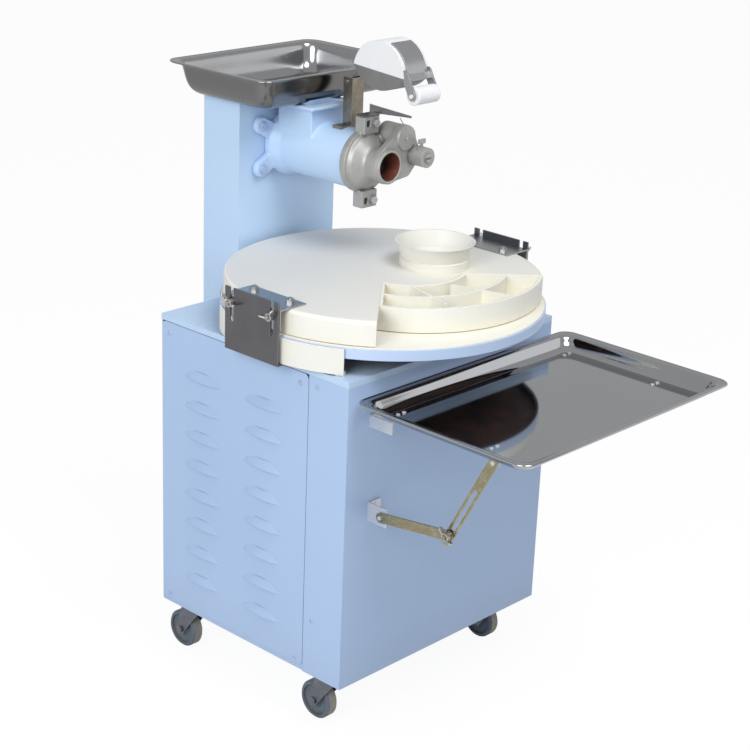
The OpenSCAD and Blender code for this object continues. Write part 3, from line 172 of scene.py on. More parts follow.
class Finish(Tree):
    """A material in the making: a tree, its main shader and the object's coordinates."""

    def __init__(self, name):
        self.material = bpy.data.materials.new(name)
        self.material.use_nodes = True
        super().__init__(self.material.node_tree)
        self.skin = self.node("ShaderNodeBsdfPrincipled")
        self.end = self.node("ShaderNodeOutputMaterial", Surface=self.skin)
        self.place = self.node("ShaderNodeTexCoord", out="Object")

    def noise(self, scale, detail=3.0, stretch=(1, 1, 1), rough=0.5):
        where = self.node("ShaderNodeMapping", Vector=self.place, Scale=stretch)
        return self.node("ShaderNodeTexNoise", Vector=where, Scale=scale, Detail=detail, Roughness=rough)

    def axis(self, letter):
        return self.node("ShaderNodeSeparateXYZ", out=letter, Vector=self.place)

    def facing(self, letter):
        normal = self.node("ShaderNodeTexCoord", out="Normal")
        return self.node("ShaderNodeSeparateXYZ", out=letter, Vector=normal)

    def maths(self, operation, value):
        return self.node("ShaderNodeMath", {"operation": operation}, Value=value)

    def within(self, letters, centre, radius):
        """1 inside a circle in the plane of two axes, 0 outside."""
        first, second = (self.axis(letter) - middle for letter, middle in zip(letters, centre))
        return (first * first + second * second) < radius * radius

    def ramp(self, value, *stops):
        return self.node("ShaderNodeValToRGB", {"stops": stops}, Fac=value)

    def mix(self, factor, first, second):
        return self.node("ShaderNodeMix", {"data_type": "RGBA"}, out=2, Factor=factor, A=first, B=second)

    def hollow(self, reach):
        """Grows towards 1 deep in a corner or hollow, and is 0 in the open."""
        settings = {"samples": SHADE_SAMPLES}
        return 1.0 - self.node("ShaderNodeAmbientOcclusion", settings, out="AO", Distance=reach)

    def wear_and_highlight_edge(self, reach):
        """Grows towards an outward edge, and is 0 on a flat face of a thick piece."""
        settings = {"samples": SHADE_SAMPLES, "inside": True, "only_local": True}
        return 1.0 - self.node("ShaderNodeAmbientOcclusion", settings, out="AO", Distance=reach)

    def bump(self, height, strength, distance, radius=None):
        sockets = {"Height": height, "Strength": strength, "Distance": distance}
        if radius:
            sockets["Normal"] = self.node("ShaderNodeBevel", {"samples": EDGE_SAMPLES}, Radius=radius)
        return self.node("ShaderNodeBump", **sockets)

    def set(self, **sockets):
        for key, value in sockets.items():
            self.put(self.skin.out.node.inputs[key.replace("_", " ")], value)
        return self.material


def tint(red, green, blue):
    """A colour as a picture gives it, from 0 to 255, as linear light by the sRGB curve."""
    light = [((v / 255 + 0.055) / 1.055) ** 2.4 if v > 10 else v / 255 / 12.92 for v in (red, green, blue)]
    return (*light, 1.0)


def shifted(shade, step):
    """A colour made lighter, or darker for a step below 0."""
    return tint(*[v + step for v in shade])


print("helpers ready")

# %% [markdown]
# ## Powder-blue paint
# The cabinet, its lid, the column and the barrel wear one satin powder coat, which reads a little darker
# on the cabinet's panels: the lid, column and barrel take a lighter copy of it, painted light for the light
# they catch. Close up such a coat has a fine orange peel, and over a panel it varies a little in tone. Its
# lower edges gather some dust, and its corners are darkened to a deeper blue as painted shade.

# %% Powder-blue paint
DUST, DUST_RISE, DUST_SHARE = tint(150, 156, 166), 0.09, 0.28
# Painted shade: an ambient-occlusion mask darkens corners to a deeper blue
CORNER_SHADE_BLUE, CORNER_SHADE_REACH, CORNER_SHADE_SHARE = tint(128, 146, 186), 0.03, 0.35
PEEL = {"strength": 0.05, "distance": 0.0004, "radius": 0.0012}


def powder_blue(name, dust_height, low, high):
    coat = Finish(name)
    broad = coat.noise(scale=2.6, detail=2.0)
    peel = coat.noise(scale=900.0, detail=1.0)
    dust = coat.node("ShaderNodeMapRange", Value=coat.axis("Z"), From_Min=dust_height,
                     From_Max=dust_height + DUST_RISE, To_Min=1.0, To_Max=0.0)
    specks = coat.noise(scale=70.0, detail=4.0, rough=0.7)
    clean = coat.mix(broad, tint(*low), tint(*high))
    dusty = coat.mix(dust * specks * DUST_SHARE, clean, DUST)
    # painted shade: a deeper blue in the corners
    tone = coat.mix(coat.hollow(CORNER_SHADE_REACH) * CORNER_SHADE_SHARE, dusty, CORNER_SHADE_BLUE)
    satin = 0.34 + peel * 0.05 + broad * 0.06
    return coat.set(Base_Color=tone, Roughness=satin, Coat_Weight=0.12, Coat_Roughness=0.25,
                    Normal=coat.bump(peel, **PEEL))


cabinet_paint = powder_blue("powder_blue_cabinet", dust_height=0.11,
                            low=(166, 192, 229), high=(177, 203, 238))
# A lighter copy of the same coat: painted light on the column, lid and barrel, which catch more light than
# the cabinet's panels
lit_column_paint = powder_blue("powder_blue_column_lit", dust_height=0.74,
                           low=(190, 217, 250), high=(199, 226, 254))
print("paints", cabinet_paint.name, lit_column_paint.name)

# %% [markdown]
# ## The disc's rim and underside
# Only the disc's rim was painted. Its underside kept the brown skin of the rolled plate, and the
# polished tray mirrors it. A mask on the distance from the disc's axis and on the height divides the two.

# %% The disc's rim and underside
RIM_PAINT, TOP_PAINT = 0.0012, 0.003
SKIN_DARK, SKIN_BROWN = (0.35, tint(86, 76, 74)), (0.7, tint(142, 104, 90))
disc_low, disc_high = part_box("turntable_disc")
disc_middle = ((disc_low.x + disc_high.x) / 2, (disc_low.y + disc_high.y) / 2)
paint_radius = (disc_high.x - disc_low.x) / 2 - RIM_PAINT
skin_height = disc_high.z - TOP_PAINT


def painted_disc():
    disc = Finish("disc_rim_paint")
    bare = disc.within("XY", disc_middle, paint_radius) * (disc.axis("Z") < skin_height)
    broad = disc.noise(scale=5.0, detail=3.0)
    peel = disc.noise(scale=900.0, detail=1.0)
    skin = disc.ramp(disc.noise(scale=26.0, detail=5.0, rough=0.7), SKIN_DARK, SKIN_BROWN)
    paint = disc.mix(broad, tint(186, 208, 242), tint(196, 217, 248))
    satin = 0.36 + peel * 0.06 + bare * 0.25
    return disc.set(Base_Color=disc.mix(bare, paint, skin), Roughness=satin, Normal=disc.bump(peel, **PEEL))


disc_paint = painted_disc()
print("disc", disc_paint.name, round(paint_radius, 4))

# %% [markdown]
# ## Cream-white nylon
# The cover, funnel, liner, guard, flour box and roller are turned from white nylon sheet and bar.
# The material is a little translucent. A short ambient-occlusion mask paints a warm shade into pockets
# and corners, and a fine noise gives the surface its grain. The cover's top is painted a faint grey, a
# painted shade for the weaker light on the top, which grows towards the back.

# %% Cream-white nylon
# Painted shade: a warm cream darkens pockets and corners through an ambient-occlusion mask
WARM_CORNER_SHADE, WARM_SHADE_REACH = tint(232, 206, 138), 0.045
# Painted shade: the cover's top is greyed, more towards the back, where it takes less light than the sides
TOP_SHADE_GREY, TOP_SHADE_SKIN = tint(213, 214, 215), 0.0006
TOP_SHADE_GROWS = {"From_Min": -0.22, "From_Max": 0.16, "To_Min": 0.15, "To_Max": 0.9}
LIGHT_REACH = (0.006, 0.004, 0.002)


def white_nylon(name, warm, low, high, shaded_top_height=None):
    nylon = Finish(name)
    cloud = nylon.noise(scale=9.0, detail=3.0)
    grain = nylon.noise(scale=420.0, detail=2.0)
    clean = nylon.mix(cloud, tint(*low), tint(*high))
    if shaded_top_height:
        # painted shade on the cover's top, growing towards the back
        back = nylon.node("ShaderNodeMapRange", Value=nylon.axis("Y"), **TOP_SHADE_GROWS)
        top_shade = (nylon.axis("Z") > shaded_top_height) * back * (0.7 + cloud * 0.3)
        clean = nylon.mix(top_shade, clean, TOP_SHADE_GREY)
    # painted warm shade in pockets and corners
    tone = nylon.mix(nylon.hollow(WARM_SHADE_REACH) * warm, clean, WARM_CORNER_SHADE)
    return nylon.set(Base_Color=tone, Roughness=0.42 + grain * 0.08, Subsurface_Weight=0.06,
                     Subsurface_Radius=LIGHT_REACH,
                     Normal=nylon.bump(grain, strength=0.06, distance=0.0003, radius=0.0016))


cover_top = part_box("rounding_cover")[1].z - TOP_SHADE_SKIN
cover_nylon = white_nylon("nylon_cover", warm=0.3, low=(236, 236, 228), high=(242, 242, 235),
                          shaded_top_height=cover_top)
plain_nylon = white_nylon("nylon_plain", warm=0.2, low=(231, 231, 224), high=(237, 237, 231))
cold_nylon = white_nylon("nylon_cold", warm=0.1, low=(232, 234, 237), high=(238, 240, 243))
print("nylon", cover_nylon.name, plain_nylon.name, cold_nylon.name)

# %% [markdown]
# ## Stainless steel
# The two trays are pressed from bright sheet, and brackets, screws and shafts are ground bar. All are
# metal with a low roughness. A stretched noise gives the hopper and the bar fine polishing lines; the
# lower tray is polished like a mirror, so its noise is even and almost flat. The hopper's outside,
# every face that looks down, is greyed darker as a painted reflection of the shade below it.

# %% Stainless steel
LINE_SHARE, SMEAR_SHARE = 0.6, 0.4
SMEAR_STEP = -8
LOOKS_DOWN = 0.02


def stainless(name, low, high, stretch, shade, down_reflection_grey=None, strength=0.02):
    steel = Finish(name)
    lines = steel.noise(scale=60.0, detail=4.0, stretch=stretch)
    smear = steel.noise(scale=7.0, detail=3.0)
    grey = steel.mix(smear, shifted(shade, SMEAR_STEP), tint(*shade))
    # painted reflection: faces that look down are greyed darker
    if down_reflection_grey:
        grey = steel.mix(steel.facing("Z") < LOOKS_DOWN, grey, tint(*down_reflection_grey))
    rough = low + lines * (high - low) * LINE_SHARE + smear * (high - low) * SMEAR_SHARE
    return steel.set(Base_Color=grey, Metallic=1.0, Roughness=rough,
                     Normal=steel.bump(lines, strength, distance=0.0003, radius=0.0007))


tray_steel = stainless("stainless_pressed", low=0.03, high=0.1, stretch=(3.0, 3.0, 3.0),
                       shade=(176, 178, 181), strength=0.002)
# The hopper's downward faces take a darker grey, a painted reflection of the shade below
hopper_steel = stainless("stainless_hopper", low=0.1, high=0.24, stretch=(0.6, 30.0, 30.0),
                         shade=(170, 171, 173), down_reflection_grey=(122, 121, 122))
ground_steel = stainless("stainless_ground", low=0.2, high=0.4, stretch=(14.0, 14.0, 1.0),
                         shade=(178, 179, 181))
print("steels", tray_steel.name, hopper_steel.name, ground_steel.name)

# %% [markdown]
# ## Painted-over fasteners and wire gauze
# The screws of the side panels and the bolts of the barrel's flange were painted with the sheet they
# hold, while the rest of both sets stayed bright. One finish serves both: a mask on the place decides
# between paint and steel. The flour sieve is woven wire, so two crossed waves of one wire pitch dent
# its surface.

# %% Painted-over fasteners and wire gauze
# Further out than these, sideways and back, the fasteners are painted
SIDE_X = 0.284
FLANGE_Y = 0.33
WIRE_PITCH = 0.0016
FLOUR, FLOUR_SHARE = tint(196, 194, 188), 0.35


def painted_steel(name, letter, border):
    steel = Finish(name)
    painted = steel.maths("ABSOLUTE", steel.axis(letter)) > border
    worn = steel.noise(scale=240.0, detail=3.0)
    metal = steel.mix(worn, tint(188, 189, 192), tint(220, 221, 223))
    paint = steel.mix(worn, tint(150, 168, 204), tint(190, 208, 240))
    return steel.set(Base_Color=steel.mix(painted, metal, paint), Metallic=1.0 - painted,
                     Roughness=0.3 + worn * 0.15,
                     Normal=steel.bump(worn, strength=0.06, distance=0.0003, radius=0.0008))


def wire_gauze(name):
    gauze = Finish(name)
    turns = 2 * math.pi / WIRE_PITCH
    across = gauze.maths("SINE", gauze.axis("X") * turns)
    along = gauze.maths("SINE", (gauze.axis("Y") + gauze.axis("Z")) * turns)
    weave = across * along * 0.5 + 0.5
    flour = gauze.noise(scale=30.0, detail=4.0, rough=0.65)
    metal = gauze.mix(weave, tint(104, 104, 107), tint(150, 150, 153))
    tone = gauze.mix(flour * FLOUR_SHARE, metal, FLOUR)
    return gauze.set(Base_Color=tone, Metallic=0.8, Roughness=0.42 + weave * 0.1,
                     Normal=gauze.bump(weave, strength=0.5, distance=0.0005))


screw_steel = painted_steel("screw_steel", "X", SIDE_X)
bolt_steel = painted_steel("bolt_steel", "Y", FLANGE_Y)
sieve_gauze = wire_gauze("sieve_gauze")
print("small finishes", screw_steel.name, bolt_steel.name, sieve_gauze.name)

# %% [markdown]
# ## Cast aluminium, dark plate and zinc
# The nozzle's head is a rough sand casting with painted shade in its crevices, and dough and water have
# stained its mouth brown. The height plates and the deflector are dark steel whose edges are lighter,
# partly wear and partly a painted highlight. The strut is zinc plated in a patchy yellow; nuts, brackets
# and caster forks have zinc of other tones, with the same lighter edges.

# %% Cast aluminium with a stained bore
BARREL_X, NOZZLE_Z, STAIN_R = 0.047, 1.045, 0.0284
# Painted shade: an ambient-occlusion mask darkens the casting's crevices
CREVICE_SHADE, CREVICE_SHADE_REACH, CREVICE_SHADE_SHARE = tint(92, 92, 92), 0.012, 0.75
STAIN_DARK, STAIN_BROWN = (0.3, tint(64, 34, 26)), (0.7, tint(134, 76, 56))


def cast_head():
    cast = Finish("cast_aluminium_head")
    grains = cast.noise(scale=260.0, detail=4.0, rough=0.65)
    lumps = cast.noise(scale=45.0, detail=3.0)
    inside = cast.within("XZ", (BARREL_X, NOZZLE_Z), STAIN_R)
    metal = cast.mix(lumps, tint(168, 169, 167), tint(194, 194, 191))
    # painted shade in the crevices
    crevice_shaded = cast.mix(cast.hollow(CREVICE_SHADE_REACH) * CREVICE_SHADE_SHARE, metal, CREVICE_SHADE)
    stain = cast.ramp(cast.noise(scale=34.0, detail=5.0, rough=0.7), STAIN_DARK, STAIN_BROWN)
    tone = cast.mix(inside, crevice_shaded, stain)
    rough = 0.4 + grains * 0.18 + inside * 0.25
    skin = grains * 0.6 + lumps * 0.4
    return cast.set(Base_Color=tone, Metallic=0.6 * (1.0 - inside), Roughness=rough,
                    Normal=cast.bump(skin, strength=0.3, distance=0.0012, radius=0.0015))


head_cast = cast_head()
print("cast", head_cast.name)

# %% Dark plate, black drive parts and zinc
SMEAR_LIGHTER, WEAR_AND_HIGHLIGHT_LIGHTER = 26, 96
# Lighter edges: partly wear, partly a painted highlight
PLATE_EDGE, PLATE_WEAR_AND_HIGHLIGHT = 0.0012, 0.8
ZINC_EDGE, ZINC_WEAR_AND_HIGHLIGHT, ZINC_LIGHTER, ZINC_WHITEST = 0.001, 0.7, 56, 240


def dark_plate(name, shade, metal, low):
    plate = Finish(name)
    lines = plate.noise(scale=50.0, detail=4.0, stretch=(1.0, 1.0, 22.0))
    smear = plate.noise(scale=12.0, detail=4.0)
    tone = plate.mix(smear, tint(*shade), shifted(shade, SMEAR_LIGHTER))
    # lighter edges: wear and a painted highlight
    tone = plate.mix(plate.wear_and_highlight_edge(PLATE_EDGE) * PLATE_WEAR_AND_HIGHLIGHT, tone, shifted(shade, WEAR_AND_HIGHLIGHT_LIGHTER))
    return plate.set(Base_Color=tone, Metallic=metal, Roughness=low + lines * 0.14 + smear * 0.12,
                     Normal=plate.bump(lines, strength=0.04, distance=0.0003, radius=0.0006))


def zinc(name, pale, warm, metal=1.0):
    plating = Finish(name)
    patches = plating.noise(scale=38.0, detail=4.0, rough=0.6)
    fine = plating.noise(scale=300.0, detail=2.0)
    tone = plating.ramp(patches * 0.6 + fine * 0.4,
                        (0.36, tint(*pale)), (0.52, tint(*warm)), (0.66, tint(*pale)))
    bright = tint(*[min(v + ZINC_LIGHTER, ZINC_WHITEST) for v in pale])
    # lighter edges: wear and a painted highlight
    tone = plating.mix(plating.wear_and_highlight_edge(ZINC_EDGE) * ZINC_WEAR_AND_HIGHLIGHT, tone, bright)
    return plating.set(Base_Color=tone, Metallic=metal, Roughness=0.26 + patches * 0.14,
                       Normal=plating.bump(fine, strength=0.05, distance=0.0003, radius=0.0006))


plate_dark = dark_plate("plate_dark_steel", shade=(96, 96, 99), metal=0.95, low=0.22)
iron_dark = dark_plate("iron_black", shade=(52, 54, 58), metal=0.4, low=0.42)
strut_zinc = zinc("zinc_yellow", pale=(170, 167, 148), warm=(144, 136, 106))
nut_zinc = zinc("zinc_bright", pale=(206, 207, 206), warm=(182, 180, 172))
fork_zinc = zinc("zinc_grey", pale=(128, 132, 138), warm=(104, 108, 114))
bracket_zinc = zinc("zinc_pale", pale=(216, 220, 227), warm=(200, 204, 211), metal=0.45)
stand_zinc = zinc("zinc_stand", pale=(166, 159, 148), warm=(140, 132, 116))
print("metals", plate_dark.name, iron_dark.name, strut_zinc.name, nut_zinc.name,
      fork_zinc.name, bracket_zinc.name, stand_zinc.name)

# %% [markdown]
# ## Rubber and moulded wheels
# The casters have grey-blue moulded wheels with a pale, scuffed rubber tread; the tread is where the
# surface faces away from the axle's direction X. Their hollows are darkened as painted shade. The belt
# inside is black rubber.

# %% Rubber and moulded wheels
SCUFFS = {"scale": 85.0, "detail": 5.0, "rough": 0.7}
SCUFF_BUMP = {"strength": 0.12, "distance": 0.0006, "radius": 0.001}
# Painted shade: an ambient-occlusion mask darkens the wheels' hollows
RECESS_SHADE, RECESS_SHADE_REACH, RECESS_SHADE_SHARE = tint(38, 44, 52), 0.012, 0.85
TREAD_TURN = 0.5


def black_rubber():
    rubber = Finish("belt_rubber")
    marks = rubber.noise(**SCUFFS)
    tone = rubber.mix(marks, tint(24, 24, 25), tint(38, 38, 39))
    return rubber.set(Base_Color=tone, Roughness=0.5 + marks * 0.25,
                      Normal=rubber.bump(marks, **SCUFF_BUMP))


def treaded_wheel():
    wheel = Finish("wheel_grey")
    marks = wheel.noise(**SCUFFS)
    side = wheel.maths("ABSOLUTE", wheel.facing("X"))
    face = wheel.mix(marks, tint(104, 116, 130), tint(84, 94, 107))
    tread = wheel.mix(marks, tint(168, 163, 153), tint(132, 128, 121))
    clean = wheel.mix(side < TREAD_TURN, face, tread)
    # painted shade in the hollows
    tone = wheel.mix(wheel.hollow(RECESS_SHADE_REACH) * RECESS_SHADE_SHARE, clean, RECESS_SHADE)
    return wheel.set(Base_Color=tone, Roughness=0.45 + marks * 0.25, Normal=wheel.bump(marks, **SCUFF_BUMP))


wheel_grey = treaded_wheel()
belt_rubber = black_rubber()
print("moulded", wheel_grey.name, belt_rubber.name)

# %% [markdown]
# ## Finishes onto the frame
# Each node of the frame has one material slot. The list says which finish goes where; a node that is
# missing from it would keep the plain colour it has in model.glb, so the cell stops if one is left.

# %% Finishes onto the frame
dressed = set()


def wear(finish, *names):
    for name in names:
        mesh = nodes[name].data
        mesh.materials.clear()
        mesh.materials.append(finish)
        dressed.add(name)


wear(cabinet_paint, "base_pan", "front_panel", "left_louvre_panel", "right_louvre_panel", "back_panel")
# The lid, column and barrel take the lighter copy of the coat, which is painted light
wear(lit_column_paint, "top_plate", "column_cover", "column_back", "barrel")
wear(disc_paint, "turntable_disc")
wear(cover_nylon, "rounding_cover", "disc_liner")
wear(plain_nylon, "funnel", "arc_guard")
wear(cold_nylon, "flour_box", "roller")
wear(tray_steel, "tray_pan")
wear(hopper_steel, "hopper_tray")
wear(ground_steel, "auger", "cutter_shaft", "flour_hinge", "roller_fork", "cover_brackets",
     "turntable_shaft")
wear(sieve_gauze, "flour_sieve")
wear(screw_steel, "cabinet_screws")
wear(bolt_steel, "head_fasteners")
wear(head_cast, "nozzle_head", "cutter_hub")
wear(plate_dark, "height_plates", "deflector")
wear(iron_dark, "drive_frame", "motor_pulley", "input_pulley", "drive_sprocket", "auger_sprocket",
     "chain", "motor", "gearbox", "disc_bearing")
wear(bracket_zinc, "tray_brackets", "tray_lugs")
wear(fork_zinc, "caster_plates", *[name for name in nodes if name.startswith("caster_fork")])
wear(wheel_grey, *[name for name in nodes if name.startswith("caster_wheel")])
wear(strut_zinc, "strut_lower", "strut_upper")
wear(stand_zinc, "flour_stand")
wear(nut_zinc, *[name for name in nodes if "wing_nut" in name])
wear(belt_rubber, "drive_belt")
undressed = sorted(set(nodes) - dressed)
assert not undressed, undressed
print("dressed", len(dressed))

# %% [markdown]
# ## Modelling helpers
# Each new piece starts as a primitive or as a copy, is shaped in edit mode and is finished with
# modifiers. An operator acts on all that is selected, so `clear_selection` or `select_only` comes first,
# and `pick` selects faces and edges by place or normal.

# %% Selecting and copying
def clear_selection():
    if bpy.context.object and bpy.context.object.mode != "OBJECT":
        bpy.ops.object.mode_set(mode="OBJECT")
    bpy.ops.object.select_all(action="DESELECT")


def select_only(piece):
    clear_selection()
    piece.select_set(True)
    bpy.context.view_layer.objects.active = piece


def pick(piece, kind, wanted):
    """In edit mode, selects the edges or faces that pass a test."""
    bpy.ops.mesh.select_mode(type=kind)
    bpy.ops.mesh.select_all(action="DESELECT")
    form = bmesh.from_edit_mesh(piece.data)
    for part in {"EDGE": form.edges, "FACE": form.faces}[kind]:
        part.select_set(bool(wanted(part)))
    form.select_flush_mode()
    bmesh.update_edit_mesh(piece.data)


def copy_of(master):
    """A copy with its own mesh."""
    twin = master.copy()
    twin.data = master.data.copy()
    bpy.context.scene.collection.objects.link(twin)
    return twin


print("selection ready")

# %% Shaping and finishing
SMOOTH_BELOW = math.radians(35)


def apply_all(piece, *steps):
    """Adds modifiers, each a kind and its settings, and applies them in order."""
    bpy.ops.object.mode_set(mode="OBJECT")
    for kind, settings in steps:
        step = piece.modifiers.new(kind.lower(), kind)
        for key, value in settings.items():
            setattr(step, key, value)
        bpy.ops.object.modifier_apply(modifier=step.name)


def cut_box(piece, place, size):
    """Cuts a box of a size, with its middle at a place, out of a piece."""
    clear_selection()
    bpy.ops.mesh.primitive_cube_add(size=1, location=place)
    block = bpy.context.object
    block.scale = size
    bpy.ops.object.transform_apply(location=True, rotation=True, scale=True)
    select_only(piece)
    apply_all(piece, ("BOOLEAN", {"object": block, "operation": "DIFFERENCE", "solver": "EXACT"}))
    bpy.data.objects.remove(block)


def settle(piece, name, finish, body, replaced):
    """Applies the piece's place, names and dresses it, and lets it ride on its body."""
    select_only(piece)
    bpy.ops.object.transform_apply(location=True, rotation=True, scale=True)
    bpy.ops.object.shade_smooth_by_angle(angle=SMOOTH_BELOW)
    piece.name = piece.data.name = name
    piece.data.materials.clear()
    piece.data.materials.append(finish)
    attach(piece, body)
    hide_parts(*replaced)
    print(name, len(piece.data.polygons), "faces")


print("shaping ready")

# %% [markdown]
# ## Pressed trays
# The tray and the hopper are each drawn from one sheet: a flat floor, a round foot, a leaning wall, a
# narrow flat flange and an edge rolled over outwards. A plane with round corners is the floor. Its
# border is extruded along the profile, step by step, Solidify gives the sheet its thickness, and a
# subdivision makes the bends round. A profile is a list of distances in from the outside and heights.

# %% Pressed trays
SHEET, SHEET_SHARE = 0.002, 0.98
CORNER_STEPS = 7
FLOOR_BORDER = 0.004
RIM_ANGLES = (165, 130, 95, 60, 25, -10, -45, -80, -115)
TRAY_CORNER, TRAY_RIM = 0.0235, 0.0045
TRAY_WALL = [(0.046, SHEET), (0.040, 0.0022), (0.034, 0.0050), (0.0285, 0.0098), (0.0245, 0.0155),
             (0.0215, 0.0220), (0.0190, 0.0258), (0.0155, 0.0276), (0.0115, 0.0281)]


def rolled_rim(radius, height):
    """Steps of the profile over the rolled edge."""
    bend = radius - SHEET
    return [(radius - bend * math.cos(math.radians(a)), height - radius + bend * math.sin(math.radians(a)))
            for a in RIM_ANGLES]


def pressed_tray(node, corner, wall, rim):
    low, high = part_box(node)
    middle, half = (low + high) / 2, (high - low) / 2
    profile = wall + rolled_rim(rim, high.z - low.z)
    inset, floor_height = profile[0]
    clear_selection()
    bpy.ops.mesh.primitive_plane_add(size=2, location=(middle.x, middle.y, low.z + floor_height))
    sheet = bpy.context.object
    sheet.scale = (half.x - inset, half.y - inset, 1)
    bpy.ops.object.transform_apply(location=True, rotation=True, scale=True)
    bpy.ops.object.mode_set(mode="EDIT")
    bpy.ops.mesh.select_all(action="SELECT")
    bpy.ops.mesh.bevel(offset=corner, segments=CORNER_STEPS, affect="VERTICES")
    pick(sheet, "FACE", lambda face: True)
    bpy.ops.mesh.inset(thickness=FLOOR_BORDER)
    pick(sheet, "EDGE", lambda edge: edge.is_boundary)
    for (was_in, was_high), (now_in, now_high) in zip(profile, profile[1:]):
        wider = ((half.x - now_in) / (half.x - was_in), (half.y - now_in) / (half.y - was_in), 1)
        bpy.ops.mesh.extrude_edges_move()
        bpy.ops.transform.resize(value=wider, center_override=(middle.x, middle.y, 0))
        bpy.ops.transform.translate(value=(0, 0, now_high - was_high))
    apply_all(sheet, ("SOLIDIFY", {"thickness": SHEET * SHEET_SHARE, "offset": -1}),
              ("SUBSURF", {"levels": 2, "render_levels": 2}))
    return sheet


tray = pressed_tray("tray_pan", TRAY_CORNER, TRAY_WALL, TRAY_RIM)
settle(tray, "tray_pressed", tray_steel, "tray", ["tray_pan"])

# %% Hopper over the feed neck
HOPPER_CORNER, HOPPER_RIM = 0.022, 0.004
HOPPER_WALL = [(0.058, SHEET), (0.047, 0.0036), (0.038, 0.009), (0.0315, 0.018), (0.027, 0.032),
               (0.0232, 0.054), (0.0205, 0.0622), (0.0175, 0.0656), (0.0125, 0.0668)]
DUCT_Y, DUCT_SIZE = 0.3185, (0.086, 0.082, 0.016)

hopper = pressed_tray("hopper_tray", HOPPER_CORNER, HOPPER_WALL, HOPPER_RIM)
cut_box(hopper, (BARREL_X, DUCT_Y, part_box("hopper_tray")[0].z), DUCT_SIZE)
settle(hopper, "hopper_pressed", hopper_steel, "cabinet", ["hopper_tray"])

# %% [markdown]
# ## Castings with rounded edges
# A casting has no sharp edge: sand and metal round every corner and fill every meeting of two forms. The
# frame's solids have the right forms with sharp meetings. A copy of such a solid is merged into one skin,
# remeshed in small even cells and relaxed for a few rounds, which rounds edges and fills corners.

# %% Castings with rounded edges
MERGE_GAP = 0.00001
RELAX_SHARE = 0.5
HEAD_CELL, BARREL_CELL, NUT_CELL = 0.0014, 0.0022, 0.0006
HEAD_ROUNDS, OTHER_ROUNDS = 5, 3
WING_NUTS = ("wing_nut_left_back", "wing_nut_left_front", "wing_nut_right_back", "wing_nut_right_front",
             "strut_wing_nut")


def rounded_copy(node, cell, rounds, name, finish, body):
    piece = copy_of(nodes[node])
    for key in list(piece.keys()):
        del piece[key]
    piece.parent = None
    select_only(piece)
    bpy.ops.object.mode_set(mode="EDIT")
    bpy.ops.mesh.select_all(action="SELECT")
    bpy.ops.mesh.remove_doubles(threshold=MERGE_GAP)
    apply_all(piece, ("REMESH", {"mode": "VOXEL", "voxel_size": cell, "adaptivity": 0.0}),
              ("SMOOTH", {"factor": RELAX_SHARE, "iterations": rounds}))
    settle(piece, name, finish, body, [node])


rounded_copy("nozzle_head", HEAD_CELL, HEAD_ROUNDS, "head_casting", head_cast, "cabinet")
# The barrel casting takes the lighter copy of the coat, which is painted light
rounded_copy("barrel", BARREL_CELL, OTHER_ROUNDS, "barrel_casting", lit_column_paint, "cabinet")
for nut in WING_NUTS:
    rounded_copy(nut, NUT_CELL, OTHER_ROUNDS, nut + "_cast", nut_zinc, nut)

# %% [markdown]
# ## Screw heads
# Round screw heads hold the side panels, the height plates and the tray's hinges. One head is modelled
# for each size: a disc whose top face is inset and lifted three times into a dome, with a slot cut
# across it. Copies then stand where the frame has its plain heads, each with its slot turned another
# way; the thinnest side of each plain head's box gives the screw's axis.

# %% Finding the plain heads
PLACE_DIGITS = 5


def solids_of(node):
    """Lowest and highest corners of each separate solid in a node of the frame."""
    mesh = nodes[node].data
    spot, owner = {}, []
    for corner in mesh.vertices:
        key = tuple(round(v, PLACE_DIGITS) for v in corner.co)
        spot.setdefault(key, len(spot))
        owner.append(spot[key])
    group = list(range(len(spot)))

    def top(i):
        while group[i] != i:
            group[i] = group[group[i]]
            i = group[i]
        return i

    for face in mesh.polygons:
        ring = [owner[i] for i in face.vertices]
        for other in ring[1:]:
            group[top(other)] = top(ring[0])
    found = {}
    for key, i in spot.items():
        found.setdefault(top(i), []).append(Vector(key))
    return [(Vector(map(min, zip(*pts))), Vector(map(max, zip(*pts)))) for pts in found.values()]


plain_heads = solids_of("cabinet_screws")
print("plain heads", len(plain_heads))

# %% Screw heads
HEAD_SIDES = 28
HEAD_EDGE = 0.45
LOOKS_UP = 0.9
DOME_STEPS = ((0.14, 0.26), (0.2, 0.17), (0.25, 0.09))
SLOT_LONG, SLOT_WIDE, SLOT_DEEP = 3, 0.24, 0.8
FIRST_TURN, NEXT_TURN = 0.6, 1.3
SIZE_DIGITS = 4


def domed_head(radius, height):
    """A slotted round head that stands on the origin along +Z."""
    edge = height * HEAD_EDGE
    clear_selection()
    bpy.ops.mesh.primitive_cylinder_add(vertices=HEAD_SIDES, radius=radius, depth=edge,
                                        location=(0, 0, edge / 2))
    head = bpy.context.object
    bpy.ops.object.mode_set(mode="EDIT")
    pick(head, "FACE", lambda face: face.normal.z > LOOKS_UP)
    for inset, lift in DOME_STEPS:
        bpy.ops.mesh.inset(thickness=radius * inset)
        bpy.ops.transform.translate(value=(0, 0, height * lift))
    cut_box(head, (0, 0, height), (radius * SLOT_LONG, radius * SLOT_WIDE, height * SLOT_DEEP))
    return head


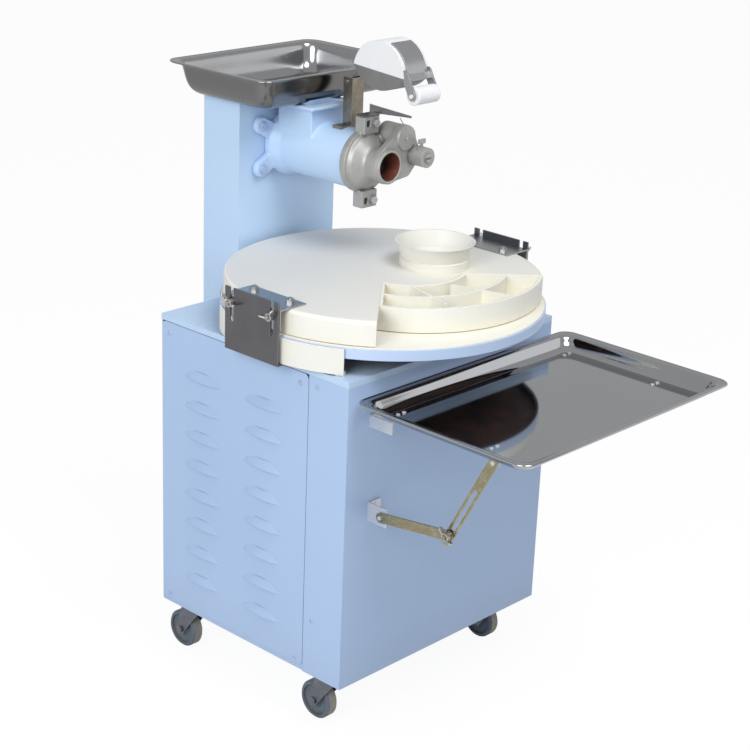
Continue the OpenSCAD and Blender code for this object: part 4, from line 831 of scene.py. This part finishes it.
heads, models = [], {}
for number, (low, high) in enumerate(plain_heads):
    size, middle = high - low, (low + high) / 2
    thin = min(range(3), key=lambda i: size[i])
    way = Vector((0, 0, 0))
    way[thin] = (math.copysign(1, middle.x), -1, 1)[thin]
    kind = (round(max(size) / 2, SIZE_DIGITS), round(size[thin], SIZE_DIGITS))
    if kind not in models:
        models[kind] = domed_head(*kind)
    head = copy_of(models[kind])
    slot_turn = Matrix.Rotation(FIRST_TURN + number * NEXT_TURN, 3, "Z").to_quaternion()
    head.rotation_euler = (way.to_track_quat("Z", "Y") @ slot_turn).to_euler()
    head.location = middle - way * size[thin] / 2
    heads.append(head)
for model in models.values():
    bpy.data.objects.remove(model)
print("head sizes", len(models), "copies", len(heads))

# %% All screw heads as one piece
clear_selection()
for head in heads:
    head.select_set(True)
bpy.context.view_layer.objects.active = heads[0]
bpy.ops.object.transform_apply(location=True, rotation=True, scale=True)
bpy.ops.object.join()
settle(bpy.context.object, "cabinet_screw_heads", screw_steel, "cabinet", ["cabinet_screws"])

# %% [markdown]
# ## Floor, light and world
# The machine stands on a pale floor in a white room. A wide lamp from the upper left lights the louvred
# side, one of the same power high in front lights the tops and the front, and a weak one from the right
# fills the shadows. Floor and world are white to the camera, and less so to metal.

# %% Pale floor
WHITE = (1, 1, 1, 1)
FLOOR_SIZE, FLOOR_GREY, FLOOR_ROUGH = 40, (0.86, 0.86, 0.86, 1), 0.7
FLOOR_GLOW, GLOW_SHARE, GLOW_TO_METAL = 1.04, 0.9, 0.5


def pale_floor():
    ground = Finish("pale_floor")
    ground.set(Base_Color=FLOOR_GREY, Roughness=FLOOR_ROUGH)
    seen = ground.rays("Camera") + ground.rays("Glossy") * GLOW_TO_METAL
    glow = ground.node("ShaderNodeEmission", Color=WHITE, Strength=FLOOR_GLOW)
    both = ground.node("ShaderNodeMixShader", Fac=seen * GLOW_SHARE, Shader=[ground.skin, glow])
    ground.put(ground.end.inputs["Surface"], both)
    return ground.material


clear_selection()
bpy.ops.mesh.primitive_plane_add(size=FLOOR_SIZE, location=(0, 0, 0))
floor = bpy.context.object
floor.name = "floor"
floor.data.materials.append(pale_floor())
print("floor", floor.data.materials[0].name)

# %% White room and lamps
ROOM_LIGHT, ROOM_WHITE, ROOM_TO_METAL = 0.35, 0.65, 0.3
LAMPS = (
    # name, place, aim, width in metres, watts
    ("key_left", (-3.4, -0.9, 2.4), (0, 0.1, 0.8), 2.2, 74),
    ("front_high", (-0.3, -1.8, 4.0), (0, 0.3, 0.9), 2.0, 73),
    ("fill_right", (2.8, -1.6, 1.6), (0, 0.1, 0.7), 2.0, 6),
)

world = bpy.data.worlds.new("white_room")
bpy.context.scene.world = world
world.use_nodes = True
room = Tree(world.node_tree)
white_to = room.rays("Camera") + room.rays("Glossy") * ROOM_TO_METAL + room.rays("Transmission")
sky = room.node("ShaderNodeBackground", Color=WHITE, Strength=ROOM_LIGHT + white_to * ROOM_WHITE)
room.node("ShaderNodeOutputWorld", Surface=sky)

for name, place, aim, width, watts in LAMPS:
    light = bpy.data.lights.new(name, "AREA")
    light.shape, light.size, light.energy = "DISK", width, watts
    holder = bpy.data.objects.new(name, light)
    holder.location = place
    holder.rotation_euler = (Vector(aim) - Vector(place)).to_track_quat("-Z", "Y").to_euler()
    bpy.context.scene.collection.objects.link(holder)
bpy.context.scene.view_settings.view_transform = "Standard"
